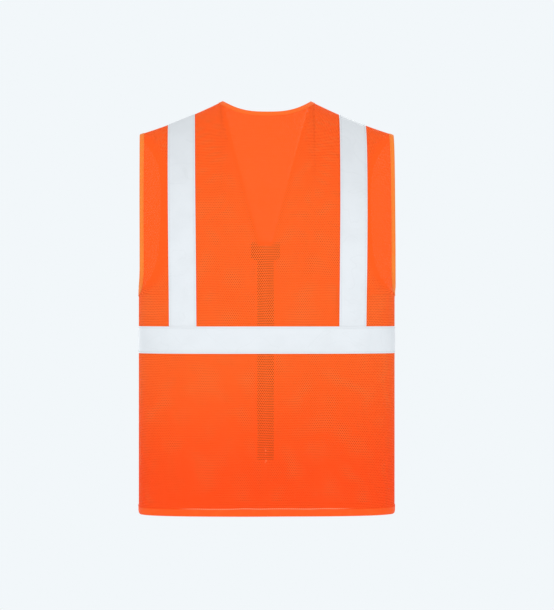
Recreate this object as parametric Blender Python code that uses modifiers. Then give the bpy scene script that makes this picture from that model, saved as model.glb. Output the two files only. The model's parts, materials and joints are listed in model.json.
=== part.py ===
"""High-visibility safety vest: mesh shell, bound edges, reflective tape and a separating front zip.

Units are metres and +Z is up. The back faces -Y and the front faces +Y, so the wearer's left is -X.
The vest keeps the shape of the chest it hangs on. The origin is where it rests on the wearer: midway
between the neck points of the two shoulder seams.
"""

import math

import bmesh
import bpy
from mathutils import Matrix, Vector

# Shell
LENGTH = 0.782  # neck point of the shoulder seam down to the hem
HALF_WIDTH = 0.243
CHEST_DEPTH = 0.104  # centre line to the cloth, at the top of the zip
HEM_DEPTH = 0.094  # the same at the hem
SECTION_POWER = 3.0  # 2 is an ellipse, more is squarer
CLOTH = 0.0010
SEAM_GAP = 0.0006  # between two panels that are sewn edge to edge

# Neck, shoulders and armholes
NECK_HALF = 0.0833
NECK_DROP = 0.0235  # back neck below the neck points
NECK_POWER = 2.6
NECK_V_DEPTH = 0.270
SHOULDER_DROP = 0.0643  # neck point down to the shoulder tip
SHOULDER_START_SLOPE = 0.5
SHOULDER_ROUND = 0.22  # height over which the shell closes over the shoulder
UNDERARM = 0.363
ARMHOLE_REACH = 0.066  # how far the back armhole's edge stands behind the shoulder seam
ARMHOLE_CORNER = 0.050
FRONT_SCOOP = 0.042  # how much further in the front armhole is cut

# Trim
TAPE_WIDTH = 0.0508
TAPE_CLOTH = 0.0005
SHOULDER_TAPE_X = 0.162  # centre of each tape that runs over the shoulder
WAIST_TAPE_TOP = 0.4275  # below the neck points
BINDING_WIDTH = 0.009
BINDING_THICK = 0.0016  # folded tape over the cloth's edge
LAYER_GAP = 0.00035  # between layers of cloth
LABEL_CLOTH = 0.0003
LABEL_SPAN = (0.1, 0.8)  # its lower and upper edges, as shares of one row of the front
LABEL_REACH = (0.04, 0.80)  # its seam and its free edge, as shares of the column beside the seam

# Front opening
FRONT_EDGE_X = 0.011  # from the centre line to each front's own edge
FOLD_START = 0.170  # below the neck points, on the neck edge
FOLD_HEM_X = 0.140  # where the fold of an opened front meets the hem
FOLD_CLEAR = 0.0045  # from the cloth's middle out to the line that the front folds about

# Zip
ZIP_LENGTH = 0.418
ZIP_TAPE_HALF = 0.016
ZIP_TAPE_CLOTH = 0.0005
TOOTH_PITCH = 0.005
TOOTH_HEIGHT = 0.0022
TOOTH_THICK = 0.0024
TOOTH_TIP_X = 0.0011
TOOTH_ROOT_X = 0.0032
TOOTH_CORD_X = 0.0040
STOP_HEIGHT = 0.0030
STOP_ROUNDING = 0.0004
PIN_LENGTH = 0.020
PIN_RADIUS = 0.0009
BOX_HEIGHT = 0.0080
BOX_DEPTH = 0.0042
SLIDER_SIZE = (0.0100, 0.0048, 0.0110)
SLIDER_WALL = 0.0009
SLIDER_ROUNDING = 0.0006
SLIDER_POST = (0.0016, 0.0040)  # width, length
TAPE_SLIT = 0.0012
BRIDGE_SIZE = (0.0020, 0.0025, 0.0062)
BRIDGE_HOLE = (0.0015, 0.0036)  # out from the slider, along it
BRIDGE_HOLE_LIFT = 0.0001  # between the slider and the hole
TAB_BAR_RADIUS = 0.0005
TAB_SIDE = 0.0014
TAB_WINDOW = 0.0044
TAB_LENGTH = 0.025
TAB_THICK = 0.0010
GRIP_HOLE_FOOT = 0.0029  # from the tab's end up to the centre of the hole in its grip
FIT_GAP = 0.0003

# Facets
NECK_COLUMNS = 4  # from the centre line to the neck point, then on to the tape, across it and past it
NEXT_COLUMNS = 2
TAPE_COLUMNS = 2
SIDE_COLUMNS = 4
FOLD_COLUMNS = 5
LOWER_ROWS = 4  # between the hem and the waist tape
CORNER_ROWS = 5  # round the foot of the armhole
SHOULDER_ROWS = 8
CURVE_SAMPLES = 120
MILLIMETRE = 0.001  # outlines are filled in millimetres, which leaves no slivers unfilled
WELD = 0.001  # in those millimetres

# Colour, roughness and metallic value of each material
FINISHES = {
    "orange_mesh": ((1.0, 0.135, 0.020), 0.85, 0.0),
    "orange_binding": ((1.0, 0.22, 0.045), 0.80, 0.0),
    "reflective_tape": ((0.78, 0.82, 0.85), 0.45, 0.0),
    "dark_zip_tape": ((0.05, 0.05, 0.055), 0.85, 0.0),
    "dark_zip_teeth": ((0.03, 0.03, 0.033), 0.40, 0.0),
    "painted_slider": ((0.035, 0.035, 0.04), 0.35, 0.6),
    "white_label": ((0.85, 0.85, 0.84), 0.60, 0.0),
}

LAYER = CLOTH / 2 + LAYER_GAP + TAPE_CLOTH / 2  # a layer of trim above the cloth's middle
TAPE_INNER_X = SHOULDER_TAPE_X - TAPE_WIDTH / 2
TAPE_OUTER_X = SHOULDER_TAPE_X + TAPE_WIDTH / 2
ZIP_Y = BINDING_THICK / 2 + LAYER_GAP + ZIP_TAPE_CLOTH / 2  # middle of the zip, inside the cloth
COLLECTION = "high_visibility_vest"
BACK, FRONT = -1, 1  # the sign of y


# The shape of the shell


def ridge(x):
    """Height of the shoulder line at x, which runs on over the neck as a low rise."""
    x = abs(x)
    if x < NECK_HALF:
        return SHOULDER_START_SLOPE * NECK_HALF / 2 * (1 - (x / NECK_HALF) ** 2)
    span = HALF_WIDTH - NECK_HALF
    flattening = (SHOULDER_START_SLOPE * span - SHOULDER_DROP) / span**2
    return -SHOULDER_START_SLOPE * (x - NECK_HALF) + flattening * (x - NECK_HALF) ** 2


def half_depth(z):
    share = (-z - NECK_V_DEPTH) / (LENGTH - NECK_V_DEPTH)
    return CHEST_DEPTH + (HEM_DEPTH - CHEST_DEPTH) * share


def squareness(z):
    """1 where the shell closes at the side, less where the armhole is open."""
    above = min(max((z + UNDERARM) / ARMHOLE_CORNER, 0.0), 1.0)
    edge = ARMHOLE_REACH * math.sqrt(1 - (1 - above) ** 2)
    return 1 - (edge / half_depth(z)) ** SECTION_POWER


def section(x, z):
    """Depth of the shell at x, before it closes over the shoulder."""
    left = 1 - squareness(z) * (abs(x) / HALF_WIDTH) ** SECTION_POWER
    return half_depth(z) * max(left, 0.0) ** (1 / SECTION_POWER)


def shell(x, z, side):
    """The point of the cloth at x and z, on the back or the front."""
    below = ridge(x) - z
    closing = 1.0
    if below < SHOULDER_ROUND:
        closing = math.sqrt(max(0.0, 1 - (1 - below / SHOULDER_ROUND) ** 2))
    return Vector((x, side * section(x, z) * closing, z))


def level(p):
    """Zero on the cloth, more outside it."""
    below = ridge(p.x) - p.z
    if below >= SHOULDER_ROUND:
        across = squareness(p.z) * (abs(p.x) / HALF_WIDTH) ** SECTION_POWER
        return (abs(p.y) / half_depth(p.z)) ** SECTION_POWER + across - 1
    return (p.y / section(p.x, p.z)) ** 2 + (1 - below / SHOULDER_ROUND) ** 2 - 1


def gradient(p):
    step = 1e-5
    slopes = []
    for axis in range(3):
        away = Vector((0, 0, 0))
        away[axis] = step
        slopes.append((level(p + away) - level(p - away)) / (2 * step))
    return Vector(slopes)


def outward(p):
    return gradient(p).normalized()


def onto_shell(p):
    for _ in range(4):
        slope = gradient(p)
        p = p - slope * (level(p) / slope.length_squared)
    return p


# The edges of the panels. Each stands back from the finished edge by the width of its binding.


def neck_edge_x(z):
    """The finished front neck edge, a straight V, and the front edge below it."""
    share = min(max(-z / NECK_V_DEPTH, 0.0), 1.0)
    return NECK_HALF + (FRONT_EDGE_X - NECK_HALF) * share


def front_cut_x(z):
    return neck_edge_x(z) + BINDING_WIDTH


def back_neck_cut(x):
    neck_point = NECK_HALF + BINDING_WIDTH
    drop = NECK_DROP + BINDING_WIDTH + ridge(neck_point)
    return ridge(neck_point) - drop * (1 - (abs(x) / neck_point) ** NECK_POWER)


def armhole_heights():
    """Heights round the foot of the armhole, closer together where it turns most."""
    reach = ARMHOLE_CORNER + BINDING_WIDTH
    turns = [math.pi / 2 * i / CORNER_ROWS for i in range(CORNER_ROWS + 1)]
    return [-UNDERARM - BINDING_WIDTH + reach * (1 - math.cos(turn)) for turn in turns]


def back_armhole_x(z):
    """Where the back panel ends: on the side seam, round the armhole's foot, then straight up."""
    low, top = -UNDERARM - BINDING_WIDTH, -UNDERARM + ARMHOLE_CORNER
    z = min(z, top)
    above = min(max((z - low) / (top - low), 0.0), 1.0)
    run_back = ARMHOLE_REACH + BINDING_WIDTH * math.sqrt(1 - (ARMHOLE_REACH / half_depth(top)) ** 2)
    y = max(run_back * math.sqrt(1 - (1 - above) ** 2), SEAM_GAP / 2)
    left = 1 - (y / half_depth(z)) ** SECTION_POWER
    return HALF_WIDTH * (left / squareness(z)) ** (1 / SECTION_POWER)


def front_armhole_x(z):
    low = -UNDERARM - BINDING_WIDTH
    share = min(max((z - low) / (-SHOULDER_DROP - low), 0.0), 1.0)
    trim = HALF_WIDTH - back_armhole_x(-SHOULDER_DROP)
    side = back_armhole_x(low)
    return side - trim * share - FRONT_SCOOP * (1 - (2 * share - 1) ** 4)


def fold_x(z):
    """The line along which an opened front folds back, from the neck edge to the hem."""
    top = front_cut_x(-FOLD_START)
    share = (-z - FOLD_START) / (LENGTH - FOLD_START)
    return top + (FOLD_HEM_X - top) * share


# Grids of points on the shell, in rows from the hem up and columns from the centre line out


def spread(points, count):
    """count + 1 points at equal steps along a curve."""
    lengths = [0.0]
    for a, b in zip(points, points[1:]):
        lengths.append(lengths[-1] + (b - a).length)
    found = []
    for i in range(count + 1):
        place = lengths[-1] * i / count
        at = max(k for k in range(len(lengths) - 1) if lengths[k] <= place or k == 0)
        share = (place - lengths[at]) / max(lengths[at + 1] - lengths[at], 1e-9)
        found.append(points[at].lerp(points[at + 1], share))
    return found


def level_point(z, side):
    return lambda x: shell(x, z, side)


def shoulder_point(turn, side):
    """Points on the part that closes over the shoulder: turn is 0 at the seam."""

    def point(x):
        z = ridge(x) - SHOULDER_ROUND * (1 - math.cos(turn))
        return Vector((x, side * section(x, z) * math.sin(turn), z))

    return point


def columns(point, stretches):
    """One row: each stretch is its two x and its number of columns, along the curve of a point at x."""
    row = []
    for low, high, count in stretches:
        start, end = (math.asin(min(1.0, (x / HALF_WIDTH) ** (SECTION_POWER / 2))) for x in (low, high))
        angles = [start + (end - start) * i / CURVE_SAMPLES for i in range(CURVE_SAMPLES + 1)]
        curve = [point(HALF_WIDTH * math.sin(angle) ** (2 / SECTION_POWER)) for angle in angles]
        row = row[:-1] + spread(curve, count)
    return row


def even(low, high, count):
    return [low + (high - low) * i / count for i in range(count + 1)]


def lower_heights():
    """The hem, the waist tape's two edges and the rows between."""
    waist_foot = -WAIST_TAPE_TOP - TAPE_WIDTH
    return even(-LENGTH + BINDING_WIDTH, waist_foot, LOWER_ROWS) + [-WAIST_TAPE_TOP]


WAIST_ROW = LOWER_ROWS  # the row at the waist tape's lower edge
ARMHOLE_ROW = LOWER_ROWS + 2


def height_on(x, turn):
    return ridge(x) - SHOULDER_ROUND * (1 - math.cos(turn))


def meeting_x(edge, turn):
    """Where a row of the shoulder meets an edge given as x over z."""
    low, high = 0.0, HALF_WIDTH
    for _ in range(40):
        middle = (low + high) / 2
        low, high = (middle, high) if middle < edge(height_on(middle, turn)) else (low, middle)
    return low


def turn_at(x, z):
    return math.acos(1 - (ridge(x) - z) / SHOULDER_ROUND)


SEAM_TURN = SEAM_GAP / 2 / CHEST_DEPTH


def back_half_rows():
    """Rows of the back from the centre line to +X."""
    neck_point = NECK_HALF + BINDING_WIDTH

    def row(point, edge):
        return columns(
            point,
            (
                (0.0, neck_point, NECK_COLUMNS),
                (neck_point, TAPE_INNER_X, NEXT_COLUMNS),
                (TAPE_INNER_X, TAPE_OUTER_X, TAPE_COLUMNS),
                (TAPE_OUTER_X, edge, SIDE_COLUMNS),
            ),
        )

    def top_turn(x):
        return SEAM_TURN if x >= neck_point else max(SEAM_TURN, turn_at(x, back_neck_cut(x)))

    rows = [row(level_point(z, BACK), back_armhole_x(z)) for z in lower_heights() + armhole_heights()]
    for i in range(SHOULDER_ROWS + 1):
        share = i / SHOULDER_ROWS

        def point(x, share=share):
            turn = math.pi / 2 + (top_turn(x) - math.pi / 2) * share
            return shoulder_point(turn, BACK)(x)

        rows.append(row(point, back_armhole_x(-SHOULDER_DROP)))
    return rows


def front_side_rows():
    """Rows of one front, at +X, from the fold or the neck edge out to the side."""

    def inner(z):
        return max(front_cut_x(z), fold_x(z) + SEAM_GAP / 2) if z < -FOLD_START else front_cut_x(z)

    def row(point, low, high):
        tape_low = max(TAPE_INNER_X, low + BINDING_WIDTH)
        return columns(
            point,
            (
                (low, tape_low, NECK_COLUMNS),
                (tape_low, TAPE_OUTER_X, TAPE_COLUMNS),
                (TAPE_OUTER_X, high, SIDE_COLUMNS),
            ),
        )

    heights = lower_heights() + armhole_heights()
    rows = [row(level_point(z, FRONT), inner(z), front_armhole_x(z)) for z in heights]
    corner = turn_at(front_cut_x(-FOLD_START), -FOLD_START)
    for turn in even(math.pi / 2, corner, 2) + even(corner, SEAM_TURN, SHOULDER_ROWS - 2)[1:]:
        low, high = meeting_x(inner, turn), meeting_x(front_armhole_x, turn)
        rows.append(row(shoulder_point(turn, FRONT), low, high))
    return rows


def front_centre_rows():
    """Rows of the part of a front that folds back, at +X, from its own edge out to the fold."""
    tip = -FOLD_START - BINDING_WIDTH
    heights = lower_heights() + even(-WAIST_TAPE_TOP, -NECK_V_DEPTH, 2)[1:] + even(-NECK_V_DEPTH, tip, 3)[1:]
    rows = []
    for z in heights:
        stretch = (front_cut_x(z), fold_x(z) - SEAM_GAP / 2, FOLD_COLUMNS)
        rows.append(columns(level_point(z, FRONT), (stretch,)))
    return rows


def mirrored(rows):
    return [[Vector((-p.x, p.y, p.z)) for p in row] for row in rows]


def whole_rows(rows):
    return [[Vector((-p.x, p.y, p.z)) for p in row[:0:-1]] + row for row in rows]


SIDES = (("right", list), ("left", mirrored))


# Solids


def material(name, color, roughness, metallic):
    made = bpy.data.materials.new(name)
    made.use_nodes = True
    shader = made.node_tree.nodes["Principled BSDF"]
    shader.inputs["Base Color"].default_value = (*color, 1.0)
    shader.inputs["Roughness"].default_value = roughness
    shader.inputs["Metallic"].default_value = metallic
    return made


def link(obj, finish):
    bpy.data.collections[COLLECTION].objects.link(obj)
    obj.data.materials.clear()
    obj.data.materials.append(finish)
    return obj


def cloth(name, rows, thickness, finish, parent=None, closed=False):
    """A sheet lofted through rows of points and made solid, half its thickness on each side."""
    shape = bmesh.new()
    grid = [[shape.verts.new(p) for p in row] for row in rows]
    pairs = list(zip(grid, grid[1:] + grid[:1])) if closed else list(zip(grid, grid[1:]))
    for lower, upper in pairs:
        for i in range(len(lower) - 1):
            shape.faces.new((lower[i], lower[i + 1], upper[i + 1], upper[i]))
    mesh = bpy.data.meshes.new(name)
    shape.to_mesh(mesh)
    shape.free()
    mesh.shade_smooth()
    obj = link(bpy.data.objects.new(name, mesh), finish)
    if parent:
        obj.parent = parent
        obj.matrix_parent_inverse = parent.matrix_basis.inverted()
    solid = obj.modifiers.new("cloth", "SOLIDIFY")
    solid.thickness = thickness
    solid.offset = 0.0
    return obj


def lifted(rows, height):
    return [[p + outward(p) * height for p in row] for row in rows]


def binding(name, edge, inner, finish, parent=None, closed=False):
    """A strip along an edge of the cloth. inner is the next line of points in from the edge."""
    rows = []
    for i, p in enumerate(edge):
        before = edge[i - 1] if i or closed else p
        after = edge[(i + 1) % len(edge)] if i < len(edge) - 1 or closed else p
        away = outward(p).cross(after - before).normalized()
        if away.dot(p - inner[i]) < 0:
            away = -away
        rows.append([p + away * FIT_GAP, onto_shell(p + away * BINDING_WIDTH)])
    return cloth(name, rows, BINDING_THICK, finish, parent, closed)


def drawn_in(points, start, end):
    """A line of points with its ends moved in by the lengths given."""
    first = points[0] + (points[1] - points[0]).normalized() * start
    last = points[-1] + (points[-2] - points[-1]).normalized() * end
    return [first] + points[1:-1] + [last]


def flipped(points):
    return [Vector((-p.x, p.y, p.z)) for p in points]


def fold_axis_end(z):
    p = shell(fold_x(z), z, FRONT)
    return p + outward(p) * FOLD_CLEAR


def fold_hinge(name, sign):
    """An empty at the hem end of a front's fold, with +Z up along it."""
    low, high = fold_axis_end(-LENGTH), fold_axis_end(-FOLD_START)
    low.x, high.x = low.x * sign, high.x * sign
    hinge = bpy.data.objects.new(f"{name}_front_fold", None)
    turned = Vector((0, 0, 1)).rotation_difference(high - low).to_matrix().to_4x4()
    hinge.matrix_basis = Matrix.Translation(low) @ turned
    bpy.data.collections[COLLECTION].objects.link(hinge)
    return hinge


def build_shell(finish, hinges):
    """The back, and each front as the part that stays and the part that folds back."""
    cloth("back_panel", whole_rows(back_half_rows()), CLOTH, finish)
    for name, turn in SIDES:
        cloth(f"{name}_front_side_panel", turn(front_side_rows()), CLOTH, finish)
        cloth(f"{name}_front_centre_panel", turn(front_centre_rows()), CLOTH, finish, hinges[name])


def build_neck_binding(finish):
    """One strip from the left fold up the V, round the back neck and down to the right fold."""
    rows = [row for row in front_side_rows() if row[0].z > -FOLD_START - FIT_GAP]
    front, front_inner = [row[0] for row in rows], [row[1] for row in rows]
    back = back_half_rows()
    neck = slice(NECK_COLUMNS, 0, -1)
    half = front + back[-1][neck]
    half_inner = front_inner + back[-2][neck]
    edge = half + [back[-1][0]] + flipped(reversed(half))
    inner = half_inner + [back[-2][0]] + flipped(reversed(half_inner))
    binding("neck_binding", drawn_in(edge, SEAM_GAP, SEAM_GAP), inner, finish)


def build_armhole_bindings(finish):
    back, front = back_half_rows()[ARMHOLE_ROW:-1], front_side_rows()[ARMHOLE_ROW:]
    edge = [row[-1] for row in back] + [row[-1] for row in reversed(front)][:-1]
    inner = [row[-2] for row in back] + [row[-2] for row in reversed(front)][:-1]
    edge[0] = shell(HALF_WIDTH, -UNDERARM - BINDING_WIDTH, BACK)
    inner[0] = edge[0] - Vector((0, 0, BINDING_WIDTH))
    binding("right_armhole_binding", edge, inner, finish, closed=True)
    binding("left_armhole_binding", flipped(edge), flipped(inner), finish, closed=True)


def build_front_edge_bindings(finish, hinges):
    """From the fold down the neck edge and the front edge to the foot of the hem binding."""
    rows = front_centre_rows()
    foot = [Vector((p.x, p.y, -LENGTH)) for p in rows[0][:2]]
    edge = [foot[0]] + [row[0] for row in rows]
    inner = [foot[1]] + [row[1] for row in rows]
    binding("right_front_edge_binding", edge, inner, finish, hinges["right"])
    binding("left_front_edge_binding", flipped(edge), flipped(inner), finish, hinges["left"])


def build_hem_bindings(finish, hinges):
    back = whole_rows(back_half_rows())
    binding("back_hem_binding", back[0], back[1], finish)
    for name, turn in SIDES:
        side, centre = turn(front_side_rows()), turn(front_centre_rows())
        binding(f"{name}_front_side_hem_binding", side[0], side[1], finish)
        binding(f"{name}_front_centre_hem_binding", centre[0], centre[1], finish, hinges[name])


def build_waist_tapes(finish, hinges):
    """The tape round the waist, in the same facets as the cloth under it."""
    rows = slice(WAIST_ROW, WAIST_ROW + 2)
    cloth("back_waist_tape", lifted(whole_rows(back_half_rows())[rows], LAYER), TAPE_CLOTH, finish)
    for name, turn in SIDES:
        side, centre = lifted(front_side_rows()[rows], LAYER), lifted(front_centre_rows()[rows], LAYER)
        cloth(f"{name}_front_side_waist_tape", turn(side), TAPE_CLOTH, finish)
        cloth(f"{name}_front_centre_waist_tape", turn(centre), TAPE_CLOTH, finish, hinges[name])


def build_shoulder_tapes(finish):
    """From the waist tape up to the shoulder seam, in the same facets as the cloth under them."""
    for where, rows, first in (
        ("back", back_half_rows(), NECK_COLUMNS + NEXT_COLUMNS),
        ("front", front_side_rows(), NECK_COLUMNS),
    ):
        strip = [row[first : first + TAPE_COLUMNS + 1] for row in rows[WAIST_ROW + 1 :]]
        across = [drawn_in(list(line), LAYER_GAP, 0.0) for line in zip(*strip)]
        strip = lifted(list(zip(*across)), LAYER)
        for name, turn in SIDES:
            cloth(f"{name}_{where}_shoulder_tape", turn(strip), TAPE_CLOTH, finish)


def build_label(finish):
    """The care label, sewn into the left side seam and lying inside the front."""
    lower, upper = front_side_rows()[1:3]
    ends = [(lower[-1].lerp(upper[-1], share), lower[-2].lerp(upper[-2], share)) for share in LABEL_SPAN]
    rows = [[near.lerp(far, share) for share in LABEL_REACH] for near, far in ends]
    cloth("care_label", mirrored(lifted(rows, -LAYER)), LABEL_CLOTH, finish)


# The zip, built in a frame at its top: x to the wearer's left, y into the vest and z up the front edge


def zip_frame(name, hinge):
    frame = bpy.data.objects.new(f"{name}_zip_frame", None)
    lean = math.atan2(CHEST_DEPTH - HEM_DEPTH, LENGTH - NECK_V_DEPTH)
    turned = Matrix.Rotation(math.pi, 4, "Z") @ Matrix.Rotation(lean, 4, "X")
    frame.parent = hinge
    frame.matrix_parent_inverse = hinge.matrix_basis.inverted()
    frame.matrix_basis = Matrix.Translation(shell(0.0, -NECK_V_DEPTH, FRONT)) @ turned
    bpy.data.collections[COLLECTION].objects.link(frame)
    return frame


def block(name, low, high, finish=None, parent=None, bevel=0.0):
    """A box between two corners. Without a finish it is a cutter."""
    bpy.ops.mesh.primitive_cube_add(size=1)
    obj = bpy.context.object
    obj.name = name
    for vertex in obj.data.vertices:
        vertex.co = [low[k] if vertex.co[k] < 0 else high[k] for k in range(3)]
    for owner in list(obj.users_collection):
        owner.objects.unlink(obj)
    if bevel:
        edges = obj.modifiers.new("edges", "BEVEL")
        edges.width = bevel
        edges.segments = 2
    place(obj, finish, parent)
    return obj


def rod(name, radius, low, high, axis, finish=None, parent=None, facets=12):
    """A cylinder between two points along a coordinate axis."""
    low, high = Vector(low), Vector(high)
    bpy.ops.mesh.primitive_cylinder_add(vertices=facets, radius=radius, depth=(high - low).length)
    obj = bpy.context.object
    obj.name = name
    turned = Vector((0, 0, 1)).rotation_difference(Vector(axis)).to_matrix().to_4x4()
    obj.data.transform(turned)
    for vertex in obj.data.vertices:
        vertex.co += (low + high) / 2
    for owner in list(obj.users_collection):
        owner.objects.unlink(obj)
    place(obj, finish, parent)
    return obj


def place(obj, finish, parent):
    if finish:
        link(obj, finish)
    else:
        bpy.data.collections["cutters"].objects.link(obj)
        obj.hide_render = True
        obj.display_type = "WIRE"
    obj.parent = parent


def combine(obj, other, operation):
    modifier = obj.modifiers.new(f"{operation} {other.name}".lower(), "BOOLEAN")
    modifier.operation = operation
    modifier.object = other


def outline(name, points, sign, y_low, y_high, finish, parent):
    """A flat outline, given as x and z, with its thickness along y. sign is -1 for a mirror image."""
    curve = bpy.data.curves.new(name, "CURVE")
    curve.dimensions = "2D"
    curve.fill_mode = "BOTH"
    curve.extrude = (y_high - y_low) / 2 / MILLIMETRE
    spline = curve.splines.new("POLY")
    spline.points.add(len(points) - 1)
    for point, (x, z) in zip(spline.points, points):
        point.co = (x / MILLIMETRE, z / MILLIMETRE, 0.0, 1.0)
    spline.use_cyclic_u = True
    flat = bpy.data.objects.new(name + "_outline", curve)
    bpy.data.collections[COLLECTION].objects.link(flat)
    mesh = bpy.data.meshes.new_from_object(flat.evaluated_get(bpy.context.evaluated_depsgraph_get()))
    bpy.data.objects.remove(flat)
    shape = bmesh.new()
    shape.from_mesh(mesh)
    bmesh.ops.remove_doubles(shape, verts=shape.verts, dist=WELD)
    if sign < 0:
        bmesh.ops.reverse_faces(shape, faces=shape.faces)
    shape.to_mesh(mesh)
    shape.free()
    for vertex in mesh.vertices:
        x, z, y = vertex.co * MILLIMETRE
        vertex.co = (sign * x, (y_low + y_high) / 2 - y, z)
    obj = link(bpy.data.objects.new(name, mesh), finish)
    obj.parent = parent
    return obj


def teeth_outline(low, high):
    """A cord with a tooth at every pitch, between two heights."""
    points = [(TOOTH_CORD_X, high), (TOOTH_CORD_X, low)]
    count = int((high - low) / TOOTH_PITCH)
    for i in range(count):
        foot = low + TOOTH_PITCH * i + (TOOTH_PITCH - TOOTH_HEIGHT) / 2
        start = [(TOOTH_ROOT_X, low)] if i == 0 else []
        points += start + [
            (TOOTH_ROOT_X, foot),
            (TOOTH_TIP_X, foot),
            (TOOTH_TIP_X, foot + TOOTH_HEIGHT),
            (TOOTH_ROOT_X, foot + TOOTH_HEIGHT),
        ]
    return points + [(TOOTH_ROOT_X, high)]


def build_zip_sides(frames, tape_finish, tooth_finish):
    """Each side's tape, row of teeth and top stop."""
    half = TOOTH_THICK / 2
    pin_top = -ZIP_LENGTH + PIN_LENGTH
    tape_inner = TOOTH_CORD_X + FIT_GAP
    for name, sign in (("left", 1), ("right", -1)):
        frame = frames[name]
        span = sorted((sign * tape_inner, sign * ZIP_TAPE_HALF))
        thin = ZIP_TAPE_CLOTH / 2
        low, high = (span[0], ZIP_Y - thin, -ZIP_LENGTH), (span[1], ZIP_Y + thin, 0.0)
        block(f"{name}_zip_tape", low, high, tape_finish, frame)
        points = teeth_outline(pin_top + FIT_GAP, -STOP_HEIGHT - FIT_GAP)
        outline(f"{name}_zip_teeth", points, sign, ZIP_Y - half, ZIP_Y + half, tooth_finish, frame)
        span = sorted((sign * TOOTH_TIP_X, sign * TOOTH_CORD_X))
        low, high = (span[0], ZIP_Y - half, -STOP_HEIGHT), (span[1], ZIP_Y + half, 0.0)
        block(f"{name}_top_stop", low, high, tooth_finish, frame, STOP_ROUNDING)


def build_zip_end(frames, finish):
    """The box on the left side, with its own pin, and the pin of the right side that slides into it."""
    frame = frames["left"]
    half, depth, height = TOOTH_CORD_X, BOX_DEPTH, BOX_HEIGHT
    lane = (TOOTH_TIP_X + TOOTH_CORD_X) / 2
    foot, pin_top = -ZIP_LENGTH, -ZIP_LENGTH + PIN_LENGTH
    low, high = (-half, ZIP_Y - depth / 2, foot), (half, ZIP_Y + depth / 2, foot + height)
    box = block("zip_retainer_box", low, high, finish, frame)
    own_pin = rod("box_pin", PIN_RADIUS, (lane, ZIP_Y, foot + height / 2), (lane, ZIP_Y, pin_top), (0, 0, 1),
                  parent=frame)
    floor = foot + PIN_RADIUS
    bore = rod("pin_bore", PIN_RADIUS + FIT_GAP, (-lane, ZIP_Y, floor), (-lane, ZIP_Y, pin_top), (0, 0, 1),
               parent=frame)
    combine(box, own_pin, "UNION")
    combine(box, bore, "DIFFERENCE")
    rod("zip_insertion_pin", PIN_RADIUS, (-lane, ZIP_Y, floor + FIT_GAP), (-lane, ZIP_Y, pin_top), (0, 0, 1),
        finish, frames["right"])


def slider_centre():
    return -STOP_HEIGHT - 2 * FIT_GAP - SLIDER_SIZE[2] / 2


def build_slider(frame, finish):
    """Two plates joined by a post, with a lane for each row of teeth and a bridge for the pull tab."""
    width, depth, height = SLIDER_SIZE
    middle = slider_centre()
    top, foot = middle + height / 2, middle - height / 2
    front = ZIP_Y - depth / 2
    slider = block("zip_slider", (-width / 2, front, foot), (width / 2, ZIP_Y + depth / 2, top), finish,
                   frame, SLIDER_ROUNDING)
    clear, cavity = FIT_GAP, depth / 2 - SLIDER_WALL
    post, post_length = SLIDER_POST
    past = height
    for name, sign in (("left", 1), ("right", -1)):
        span = sorted((sign * post / 2, sign * (TOOTH_CORD_X + clear)))
        lane = block(f"{name}_lane", (span[0], ZIP_Y - cavity, foot - past), (span[1], ZIP_Y + cavity, top + past),
                     parent=frame)
        combine(slider, lane, "DIFFERENCE")
        span = sorted((sign * TOOTH_ROOT_X, sign * width))
        slit = block(f"{name}_slit", (span[0], ZIP_Y - TAPE_SLIT / 2, foot - past),
                     (span[1], ZIP_Y + TAPE_SLIT / 2, top + past), parent=frame)
        combine(slider, slit, "DIFFERENCE")
    below = block("below_post", (-post, ZIP_Y - cavity, foot - past), (post, ZIP_Y + cavity, top - post_length),
                  parent=frame)
    combine(slider, below, "DIFFERENCE")
    bridge_width, reach, length = BRIDGE_SIZE
    bridge = block("bridge", (-bridge_width / 2, front - reach, middle - length / 2),
                   (bridge_width / 2, front + SLIDER_WALL / 2, middle + length / 2), parent=frame)
    out, along = BRIDGE_HOLE
    hole = block("bridge_hole", (-bridge_width, front - out, middle - along / 2),
                 (bridge_width, front - BRIDGE_HOLE_LIFT, middle + along / 2), parent=frame)
    combine(slider, bridge, "UNION")
    combine(slider, hole, "DIFFERENCE")


def tab_axis_y():
    """How far into the vest the pull tab's bar lies, which is negative: it is outside."""
    return ZIP_Y - SLIDER_SIZE[1] / 2 - (BRIDGE_HOLE[0] + BRIDGE_HOLE_LIFT) / 2


def build_pull_tab(frame, finish):
    """A flat tab that hangs from a bar through the slider's bridge."""
    bar_y, middle = tab_axis_y(), slider_centre()
    inner, outer = BRIDGE_SIZE[0] / 2 + FIT_GAP, BRIDGE_SIZE[0] / 2 + FIT_GAP + TAB_SIDE
    half, past = TAB_THICK / 2, TAB_THICK * 3 / 2
    hinge = bpy.data.objects.new("tab_hinge", None)
    hinge.location = (0.0, bar_y, middle)
    hinge.parent = frame
    bpy.data.collections[COLLECTION].objects.link(hinge)
    tab = block("zip_pull_tab", (-outer, -half, -TAB_LENGTH), (outer, half, half), finish, hinge)
    window = block("tab_window", (-inner, -past, -TAB_WINDOW), (inner, past, past), parent=hinge)
    bar = rod("tab_bar", TAB_BAR_RADIUS, (-outer + half, 0, 0), (outer - half, 0, 0), (1, 0, 0), parent=hinge)
    foot = -TAB_LENGTH + GRIP_HOLE_FOOT
    grip = rod("tab_grip_hole", inner, (0, -past, foot), (0, past, foot), (0, 1, 0), parent=hinge)
    combine(tab, window, "DIFFERENCE")
    combine(tab, bar, "UNION")
    combine(tab, grip, "DIFFERENCE")


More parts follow.
